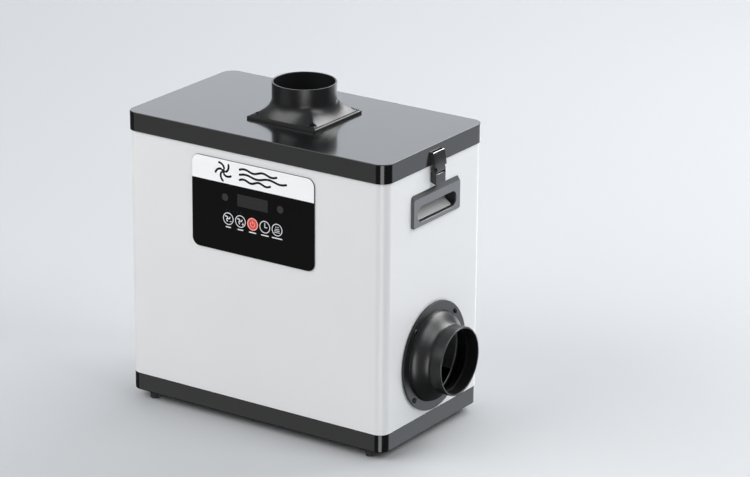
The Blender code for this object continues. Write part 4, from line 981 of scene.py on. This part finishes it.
def make_pocket(room_low, room_high, mouth_x):
    """Dark sides, their near-black painted shade inside the pocket, and a pale plate that slopes in and up
    from the slot's lower edge.
    """
    mouth = Vector((mouth_x - 1.6 * MM, room_high.y, room_high.z))
    liner = rounded_block("right_pocket_liner", room_low, mouth, 9 * MM, axis=0, segments=12)
    inner_low = room_low + Vector((-MM, 0.8 * MM, 0.8 * MM))
    inner_high = room_high + Vector((MM, -0.8 * MM, -0.8 * MM))
    carve(liner, rounded_block("hollow", inner_low, inner_high, 8.2 * MM, axis=0, segments=12))
    start = (mouth_x - 4.2 * MM, inner_low.z + 0.6 * MM)
    end = (room_low.x + 1.5 * MM, inner_high.z - 0.1 * MM)
    bend = (start[0] + 0.55 * (end[0] - start[0]), start[1] + 0.3 * (end[1] - start[1]))
    slope = eased([start, bend, end], 1.0, 12)
    under = [(x - 0.6 * MM, z - 0.5 * MM) for x, z in slope]
    outline = [tuple(p) for p in slope] + under[::-1]
    scoop = plate("right_pocket_scoop", outline, inner_low.y, inner_high.y)
    within = Vector((0, 0.1 * MM, 0.1 * MM))
    keep = rounded_block("within", inner_low + within, inner_high - within, 8.1 * MM, axis=0, segments=12)
    carve(scoop, keep, how="INTERSECT")
    # the liner is near-black, darker than the grip, as painted shade inside the pocket
    for piece, name, slot, finish in (
        (liner, "left_pocket_liner", "grip_plastic", FITTING_PLASTIC),
        (scoop, "left_pocket_scoop", "zinc_steel", POCKET_STEEL),
    ):
        ready_pair(piece, name, slot, finish, angle=MOULDED_ANGLE)


def in_slot(place, low, high):
    spare = MM / 5
    return low.y - spare < place.y < high.y + spare and low.z - spare < place.z < high.z + spare


def soften_floor(piece, x, radius):
    """Rounds the edges round the pocket's floor."""
    edit(piece)
    pick("EDGE", lambda p, way: abs(p.x - x) < NEAR and abs(way.x) < ACROSS)
    bpy.ops.mesh.bevel(offset=radius, segments=6, affect="EDGES")
    put_down()


# ---- latches ---------------------------------------------------------------------------------------
LATCH_SHEET = 1.2 * MM


def make_latches():
    """Right lever about its pin, mirrored for the left."""
    pin = centre("right_latch_pin")
    lever_low, lever_high = box("right_latch_lever")
    half = (lever_high.y - lever_low.y) / 2
    knuckle = lever_high.x - pin.x
    height = lever_high.z - pin.z
    lean = knuckle - 0.1 * MM
    radius = (height**2 + lean**2) / (2 * lean)
    sweep = asin(height / radius)
    sheet = LATCH_SHEET
    shoulder = 5.1 * MM  # over the pin, where the lever widens

    def face(inset, start=0.0, steps=16):
        first = asin(start / radius)
        turns = [first + (sweep - first) * i / steps for i in range(steps + 1)]
        centre = knuckle - radius
        return [(centre + (radius - inset) * cos(a), (radius - inset) * sin(a)) for a in turns]

    narrow = 9.3 * MM
    curl = [(knuckle * cos(a), knuckle * sin(a)) for a in (radians(-200 + 10 * i) for i in range(20))]
    lever = strip("lever", curl + face(0)[:5], 2 * narrow, sheet, side=1)
    lever = close_up(lever)
    outer, inner = face(-0.04 * MM, shoulder), face(sheet, shoulder)
    cheek_back = lever_low.x - pin.x
    wing = plate("wing", outer + inner[::-1], -half, half)
    top = outer[-1][1]
    cheeks = []
    outline = [(x - 0.1 * MM, z) for x, z in outer]
    outline += [(cheek_back, top), (cheek_back, 9 * MM)]
    outline.append((outer[0][0] - 3 * MM, outer[0][1]))
    for side in (-1, 1):
        edges = sorted((side * half, side * (half - sheet)))
        cheeks.append(plate("cheek", eased(outline, 1.2 * MM, 3, closed=True), *edges))
    merge(wing, *cheeks)
    rib_half = half - 4.2 * MM
    rib_face = face(-0.35 * MM, shoulder + 4.5 * MM)[:-3]
    rib_back = face(0.5 * MM, shoulder + 4.5 * MM)[:-3]
    rib = plate("rib", rib_face + rib_back[::-1], -rib_half, rib_half)
    merge(wing, rib)
    edit(wing)
    # the top's front edge is cut off aslant
    front = outer[-1][0]
    pick("EDGE", lambda p, way: abs(way.y) > ALONG and p.z > top - NEAR and p.x > front - NEAR)
    bpy.ops.mesh.bevel(offset=0.9 * MM, segments=1, affect="EDGES")
    put_down()
    soften(wing, 0.12 * MM, 2)
    soften(lever, 0.2 * MM, 2)
    latch = join("right_latch_lever_pressed", [wing, lever])
    settle(latch, pin)
    left, bodies = "left_latch_lever_pressed", ("right_latch", "left_latch")
    pair = ready_pair(latch, left, "black_steel", LATCH_STEEL, "latch_lever", bodies)
    # the faces along the top, down to 1.4 mm below it, are given bright steel
    bright_top_foot = lever_high.z - 1.4 * MM
    for piece in pair:
        second_finish_faces(piece, lambda place, way: way.z > 0.45 and place.z > bright_top_foot)


def second_finish_faces(piece, test, finish=SPRING_STEEL):
    """Gives the faces that pass the test a second finish, bright steel unless another is given; on the
    grips' top slope it is painted shade, on the brackets' fold a painted highlight.
    """
    piece.data.materials.append(finish)
    edit(piece)
    pick("FACE", test)
    piece.active_material_index = 1
    bpy.ops.object.material_slot_assign()
    put_down()


def close_up(piece):
    """Merges doubles and turns the faces outwards."""
    edit(piece)
    bpy.ops.mesh.select_all(action="SELECT")
    bpy.ops.mesh.remove_doubles(threshold=WELD)
    face_outwards()
    put_down()
    return piece


def make_brackets():
    """Folded bracket with two ears round the pin."""
    low, high = box("right_latch_bracket")
    pin = centre("right_latch_pin")
    sheet = LATCH_SHEET
    back, out = low.x - pin.x, high.x - pin.x
    half = (high.y - low.y) / 2
    bottom = low.z - pin.z
    shelf = -4.9 * MM
    ear = [(3.8 * MM * cos(a), 3.8 * MM * sin(a)) for a in (radians(150 * i / 14) for i in range(15))]
    side = [(back, bottom + 2.8 * MM), (out, bottom), (out, shelf)] + ear + [(back, shelf)]
    bracket = plate("bracket", side, -half, half)
    inside = half - sheet
    past = 20 * MM  # beyond the bracket on every side
    hollow_low = (back - 2 * MM + sheet * 2, -inside, -30 * MM)
    carve(bracket, block("hollow", hollow_low, (out - sheet, inside, 9 * MM)))
    carve(bracket, block("slot", (-past, -inside, shelf), (past, inside, past)))
    carve(bracket, cylinder("bore", 1.7 * MM, (0, -past, 0), (0, past, 0), 1, 32))
    edit(bracket)

    def at_fold(place, way):
        return abs(way.y) > ALONG and abs(place.x - out) < NEAR and abs(place.z - shelf) < NEAR

    pick("EDGE", at_fold)
    bpy.ops.mesh.bevel(offset=0.9 * MM, segments=1, affect="EDGES")
    put_down()
    soften(bracket, 0.25 * MM, 3, 50)
    bracket.name = "right_latch_base"
    settle(bracket, pin)
    pair = ready_pair(bracket, "left_latch_base", "black_steel", LATCH_STEEL, "latch_bracket")
    # painted highlight: the top of the fold is given bright steel
    fold_top = pin.z + shelf
    painted_highlight_low = fold_top - 1.2 * MM

    def painted_highlight_faces(place, way):
        return way.z > 0.5 and abs(way.x) > 0.5 and painted_highlight_low < place.z < fold_top + NEAR

    for piece in pair:
        second_finish_faces(piece, painted_highlight_faces)
    # one leg of the spring lies across the fold, under the pin; its bright steel also stands in for the
    # highlight line along the joint
    leg = Vector((1.6 * MM, 0, -5.5 * MM)) + pin
    reach = Vector((0, inside - 0.1 * MM, 0))
    wire = cylinder("right_latch_spring_leg_and_highlight", 0.7 * MM, leg - reach, leg + reach, 1, 24)
    soften(wire, 0.15 * MM)
    ready_pair(wire, "left_latch_spring_leg_and_highlight", "spring_steel", SPRING_STEEL)
    for side in ("right", "left"):
        for node, body, finish, slot in (
            ("latch_pin", "cabinet", SCREW_STEEL, "spring_steel"),
            ("latch_claw", f"{side}_latch", SPRING_STEEL, "spring_steel"),
            ("latch_keeper", "lid", LATCH_STEEL, "black_steel"),
        ):
            piece = from_node(f"{side}_{node}_fine", f"{side}_{node}", 0.15 * MM)
            ready(piece, body, slot, finish, f"{side}_{node}", angle=NODE_ANGLE)


# ---- touch panel -----------------------------------------------------------------------------------
PANEL_LOW, PANEL_HIGH = box("touch_panel")
PANEL_FACE = PANEL_LOW.y
PRINT = 0.06 * MM  # thickness of what is printed on the film
BAND = 31.7 * MM
KEY_Z = 0.284
DOTS_Z = 0.2955
KEY_PITCH = 19.3 * MM
KEYS = range(1, 6)


def disc(x, z, radius, lift=1.0, sides=48):
    low = Vector((MID_X + x, PANEL_FACE - PRINT * lift, z))
    return cylinder("disc", radius, low, low + Vector((0, PRINT * (lift + 0.5), 0)), 1, sides)


def ring(x, z, radius, width, lift=1.0):
    outer = disc(x, z, radius, lift, 72)
    low = Vector((MID_X + x, PANEL_FACE - 3 * PRINT, z))
    return carve(outer, cylinder("hole", radius - width, low, low + Vector((0, 6 * PRINT, 0)), 1, 72))


def stroke(points, width, lift=1.0):
    """A printed line of even width with round ends, along (x, z) points."""
    points = [Vector(point) for point in points]
    left, right = [], []
    for i, here in enumerate(points):
        way = (points[min(i + 1, len(points) - 1)] - points[max(i - 1, 0)]).normalized()
        side = Vector((-way.y, way.x)) * width / 2
        left.append(here + side)
        right.append(here - side)

    def cap(centre, start):
        arm = start - centre
        turns = [-pi * step / 6 for step in range(1, 6)]
        return [centre + Matrix.Rotation(turn, 2) @ arm for turn in turns]

    outline = left + cap(points[-1], left[-1]) + right[::-1] + cap(points[0], right[0])
    outline = [(MID_X + p.x, p.y) for p in outline]
    return plate("stroke", outline, PANEL_FACE - PRINT * lift, PANEL_FACE + PRINT * 0.5)


def bar(x, z, width, height, lift=1.0):
    return stroke([(x - width / 2 + height / 2, z), (x + width / 2 - height / 2, z)], height, lift)


def bow(x, z, radius, start, end, steps=14):
    turns = [radians(start + (end - start) * i / steps) for i in range(steps + 1)]
    return [(x + radius * cos(a), z + radius * sin(a)) for a in turns]


def wave(x, z, length, rise, humps=2, steps=36):
    """Points of a sine wave from x to the right."""
    return [
        (x + length * i / steps, z + rise * sin(2 * pi * humps * i / steps)) for i in range(steps + 1)
    ]


def little_fan(x, z, size):
    """Three curved fan blades round a hub."""
    strokes = [disc(x, z, size * 0.17)]
    for turn in (90, 210, 330):
        start = radians(turn)
        root = (x + cos(start) * size * 0.25, z + sin(start) * size * 0.25)
        points = [root]
        for step in range(1, 7):
            share = step / 6
            angle = start + radians(55) * share
            reach = size * (0.25 + 0.72 * share)
            points.append((x + reach * cos(angle), z + reach * sin(angle)))
        strokes.append(stroke(points, size * 0.34))
    return strokes


def make_panel():
    """Film with rounded corners, the white band along its top, and everything printed on it."""
    film = rounded_block("panel_film", PANEL_LOW, PANEL_HIGH, 11 * MM, axis=1, segments=14)
    edit(film)
    pick("EDGE", lambda p, way: abs(p.y - PANEL_FACE) < NEAR / 2 and abs(way.y) < ACROSS)
    bpy.ops.mesh.bevel(offset=0.3 * MM, segments=3, affect="EDGES")
    put_down()
    ready(film, "cabinet", "panel_film", PANEL_BLACK, "touch_panel")

    inset = Vector((0.35 * MM, 0, 0.35 * MM))
    low, high = PANEL_LOW + inset, PANEL_HIGH - inset
    low.y, high.y = PANEL_FACE - PRINT, PANEL_FACE + PRINT / 2
    band = rounded_block("white_band", low, high, 10.7 * MM, axis=1, segments=14)
    edit(band)
    bpy.ops.mesh.select_all(action="SELECT")
    cut_z = PANEL_HIGH.z - BAND
    bpy.ops.mesh.bisect(
        plane_co=(MID_X, 0, cut_z), plane_no=(0, 0, 1), clear_inner=True, use_fill=True
    )
    face_outwards()
    put_down()
    printed(band, PRINT_WHITE, SMOOTH_ANGLE)

    middle = PANEL_HIGH.z - BAND / 2
    mark = []
    for row, length in enumerate((58, 73, 48)):
        z = middle + (1 - row) * 7.0 * MM
        mark.append(stroke(wave(-20 * MM, z, length * MM, 1.6 * MM), 3.0 * MM, 2.0))
    hub_x = -46 * MM
    mark.append(disc(hub_x, middle, 3.0 * MM, 2.0))
    for turn in range(0, 360, 72):
        root = radians(turn)
        points = []
        for step in range(9):
            angle = root + radians(50) * step / 8
            reach = (4.2 + 8.6 * step / 8) * MM
            points.append((hub_x + reach * cos(angle), middle + reach * sin(angle)))
        mark.append(stroke(points, 3.0 * MM, 2.0))
    printed(join("airflow_mark", mark), PRINT_INK)

    display_low, display_high = box("display_module")
    low, high = display_low.copy(), display_high.copy()
    low.y, high.y = PANEL_FACE - PRINT, PANEL_FACE + PRINT / 2
    printed(rounded_block("display_pane", low, high, 0.8 * MM, axis=1, segments=4), WINDOW)
    window_z = (display_low.z + display_high.z) / 2
    dots = [disc(side * 43.5 * MM, window_z, 5 * MM) for side in (-1, 1)]
    dots += [disc((-41.8 + 5.83 * i) * MM, DOTS_Z, 0.7 * MM) for i in range(5)]
    printed(join("sensor_panes", dots), ROUND_WINDOW)
    make_keys()


def printed(piece, finish, angle=None):
    ready(piece, "cabinet", "panel_film", finish, angle=angle)


def make_keys():
    """Five ringed keys: slower, faster, power, timer and filter, with a plain bar under each."""
    white = []
    places = [(i - 2) * KEY_PITCH for i in range(5)]
    for i, x in enumerate(places):
        if i != 2:
            white.append(ring(x, KEY_Z, 8.3 * MM, 1.05 * MM))
        white.append(bar(x, KEY_Z - 11.4 * MM, (8.5, 9.0, 11.5, 12.0, 16.5)[i] * MM, 1.5 * MM))
    for x, sign in ((places[0], -1), (places[1], 1)):
        white += little_fan(x - 1.0 * MM, KEY_Z + 0.6 * MM, 4.2 * MM)
        white.append(bar(x + 3.9 * MM, KEY_Z - 3.2 * MM, 3.2 * MM, 0.8 * MM))
        if sign > 0:
            point = x + 3.9 * MM
            ends = [(point, KEY_Z - 4.8 * MM), (point, KEY_Z - 1.6 * MM)]
            white.append(stroke(ends, 0.8 * MM, 1.2))
    clock = places[3]
    hub_z = KEY_Z - 0.4 * MM
    hands = [(clock, KEY_Z + 5.0 * MM), (clock, hub_z), (clock + 3.4 * MM, hub_z)]
    white.append(stroke(hands[:2], 1.1 * MM))
    white.append(stroke(hands[1:], 1.1 * MM, 1.2))
    filt = places[4]
    for row in range(3):
        z = KEY_Z + (-3.6 + 2.2 * row) * MM
        white.append(bar(filt, z, (9.5 - row) * MM, 0.8 * MM))
    for dot in (-2, 0, 2):
        white.append(disc(filt + dot * MM, KEY_Z + 3.6 * MM, 0.65 * MM, sides=20))
    printed(join("key_prints", white), PRINT_KEY)
    power = places[2]
    printed(join("power_key_ring", [ring(power, KEY_Z, 8.5 * MM, 1.5 * MM)]), PRINT_PINK)
    red = [disc(power, KEY_Z, 7.05 * MM, 0.8)]
    printed(join("power_key_face", red), PRINT_RED)
    symbol = [
        stroke(bow(power, KEY_Z - 0.3 * MM, 3.4 * MM, 125, 415, 26), 0.95 * MM, 1.6),
        stroke([(power, KEY_Z + 4.4 * MM), (power, KEY_Z + 0.6 * MM)], 0.95 * MM, 1.8),
    ]
    printed(join("power_key_symbol", symbol), PRINT_PINK)


# ---- what lies inside and at the back -------------------------------------------------------------
def make_inner_pieces():
    """Plain nodes whose shape is right, welded, softened and finished."""
    for node, body, slot, finish, round_off in (
        ("fan_wheel", "fan", "black_plastic", FITTING_PLASTIC, 0),
        ("motor_rotor", "fan", "die_cast", CAST, 0.3 * MM),
        ("motor_stator", "cabinet", "die_cast", CAST, 0.3 * MM),
        ("motor_bracket", "cabinet", "zinc_steel", ZINC, 0.4 * MM),
        ("fan_nozzle", "cabinet", "black_steel", LATCH_STEEL, 0),
        ("fan_deck", "cabinet", "zinc_steel", ZINC, 0.2 * MM),
        ("filter_bay", "cabinet", "zinc_steel", ZINC, 0.2 * MM),
        ("carbon_filter", "cabinet", "filter_carbon", CARBON, 0.5 * MM),
        ("pleated_filter", "cabinet", "filter_media", PAPER, 0),
        ("medium_filter", "cabinet", "filter_media", PAPER, 0.5 * MM),
        ("power_supply", "cabinet", "zinc_steel", ZINC, 0.5 * MM),
        ("service_plate", "cabinet", "black_paint", CHARCOAL, 0.2 * MM),
        ("mains_inlet", "cabinet", "black_plastic", FITTING_PLASTIC, 0.2 * MM),
        ("switch_frame", "cabinet", "black_plastic", FITTING_PLASTIC, 0.2 * MM),
        ("power_rocker", "rocker", "switch_red", ROCKER_RED, 0.4 * MM),
        ("motor_cable", "cabinet", "cable_sheath", SHEATH, 0),
        ("mains_lead", "cabinet", "cable_sheath", SHEATH, 0),
        ("control_board", "cabinet", "board", BOARD, 0.1 * MM),
        ("display_module", "cabinet", "display", DISPLAY, 0.3 * MM),
        ("lid_gasket", "lid", "foam", FOAM, 0.8 * MM),
        ("outlet_gasket", "cabinet", "foam", FOAM, 0),
        *((f"touch_spring_{i}", "cabinet", "spring_steel", SPRING_STEEL, 0.2 * MM) for i in KEYS),
    ):
        piece = from_node(node + "_fine", node, round_off)
        ready(piece, body, slot, finish, node, angle=NODE_ANGLE)


def make_mat():
    """Coarse fleece mat, dished within its border."""
    low, high = box("coarse_mat")
    mat = rounded_block("coarse_mat_fleece", low, high, 3 * MM, segments=4)
    edit(mat)
    pick("FACE", lambda place, way: abs(way.z) > ALONG)
    bpy.ops.mesh.inset(thickness=7 * MM, depth=-1.2 * MM)
    put_down()
    soften(mat, 0.8 * MM, 3)
    ready(mat, "cabinet", "filter_mat", FLEECE, "coarse_mat")


# ---- stage -----------------------------------------------------------------------------------------
def plain(name, colour, roughness):
    material = bpy.data.materials.new(name)
    material.use_nodes = True
    shader = material.node_tree.nodes["Principled BSDF"]
    shader.inputs["Base Color"].default_value = (*colour, 1)
    shader.inputs["Roughness"].default_value = roughness
    return material


def make_floor():
    """Pale sweep. Gloss passes through it, to be lit by the cards below."""
    put_down()
    bpy.ops.mesh.primitive_plane_add(size=16, location=(0, 0, FLOOR))
    floor = named("studio_floor")
    floor.data.materials.append(plain("studio_floor", (0.52, 0.53, 0.54), 0.8))
    floor.visible_glossy = False
    floor.visible_shadow = False


def softbox(name, azimuth, elevation, distance, width, height, radiance, colour=(1, 1, 1), **rays):
    """A rectangular light that faces the machine: azimuth from the front towards the right."""
    aim = Vector((0, 0, 0.2))
    a, e = radians(azimuth), radians(elevation)
    way = Vector((sin(a) * cos(e), -cos(a) * cos(e), sin(e)))
    light = bpy.data.lights.new(name, "AREA")
    light.shape = "RECTANGLE"
    light.size, light.size_y = width, height
    light.energy = radiance * pi * width * height
    light.color = colour
    lamp = bpy.data.objects.new(name, light)
    bpy.context.scene.collection.objects.link(lamp)
    lamp.location = aim + way * distance
    lamp.rotation_euler = way.to_track_quat("Z", "Y").to_euler()
    lamp.visible_camera = False
    for kind, seen in rays.items():
        setattr(lamp, "visible_" + kind, seen)


def make_lights():
    """Each softbox by its azimuth, elevation, distance, width, height and radiance."""
    softbox("key", -34, 38, 3.4, 3.0, 2.2, 4.0)
    softbox("side", 95, 40, 3.2, 1.8, 1.6, 4.5, (0.97, 0.985, 1.0))
    softbox("rim", 160, 41, 3.0, 2.4, 1.6, 5.0)
    # stands behind, where the lid mirrors it towards the viewer
    softbox("backdrop", 213.9, 22, 3.6, 4.4, 1.9, 1.68, (0.89, 0.935, 1.0))
    # cards that only gloss sees, where the collars and the upright faces mirror them towards the viewer
    softbox("rim_card", 160, 41, 3.1, 2.4, 1.6, 3.5, diffuse=False)
    softbox("front_card", -33.9, -22, 3.0, 1.8, 1.2, 0.72, diffuse=False)
    softbox("corner_card", 38, -12, 3.0, 1.4, 2.2, 4.2, diffuse=False)
    softbox("side_card", 146.1, -21, 3.0, 1.9, 1.6, 1.35, (0.88, 0.93, 1.0), diffuse=False)
    softbox("edge_card", 183, -17, 3.0, 1.7, 1.4, 2.3, diffuse=False)
    world = bpy.data.worlds.new("studio")
    world.use_nodes = True
    sky = world.node_tree
    background = sky.nodes["Background"]
    background.inputs["Color"].default_value = (0.93, 0.96, 1.0, 1)
    # the room is bright over the floor and dim below it
    way = sky.nodes.new("ShaderNodeTexCoord")
    height = sky.nodes.new("ShaderNodeSeparateXYZ")
    sky.links.new(way.outputs["Generated"], height.inputs[0])
    bright = sky.nodes.new("ShaderNodeMapRange")
    for socket, value in (("From Min", -0.1), ("From Max", 0.1), ("To Min", 0.08), ("To Max", 0.35)):
        bright.inputs[socket].default_value = value
    sky.links.new(height.outputs["Z"], bright.inputs["Value"])
    sky.links.new(bright.outputs["Result"], background.inputs["Strength"])
    bpy.context.scene.world = world
    bpy.context.scene.view_settings.view_transform = "Standard"


def make_camera():
    """Long lens from the front right, a little above, tilted by less than half a degree."""
    azimuth, elevation, roll = radians(33.854), radians(19.365), radians(0.439)
    back = Vector((sin(azimuth) * cos(elevation), -cos(azimuth) * cos(elevation), sin(elevation)))
    right = Vector((0, 0, 1)).cross(back).normalized()
    up = back.cross(right)
    across = cos(roll) * right + sin(roll) * up
    upwards = -sin(roll) * right + cos(roll) * up
    camera = bpy.data.objects.new("camera", bpy.data.cameras.new("camera"))
    bpy.context.scene.collection.objects.link(camera)
    camera.data.sensor_width = 36
    camera.data.lens = 166.19
    camera.data.clip_end = 50
    place = Vector((MID_X + 2.4694, -3.5145, BASE_LOW.z + 1.7296))
    axes = Matrix((across, upwards, back)).transposed().to_4x4()
    camera.matrix_world = Matrix.Translation(place) @ axes
    bpy.context.scene.camera = camera


make_camera()
make_shell()
make_base()
make_feet()
make_lid()
make_inlet()
make_outlet()
make_screws()
make_grips()
make_latches()
make_brackets()
make_panel()
make_mat()
make_inner_pieces()
make_floor()
make_lights()
put_down()
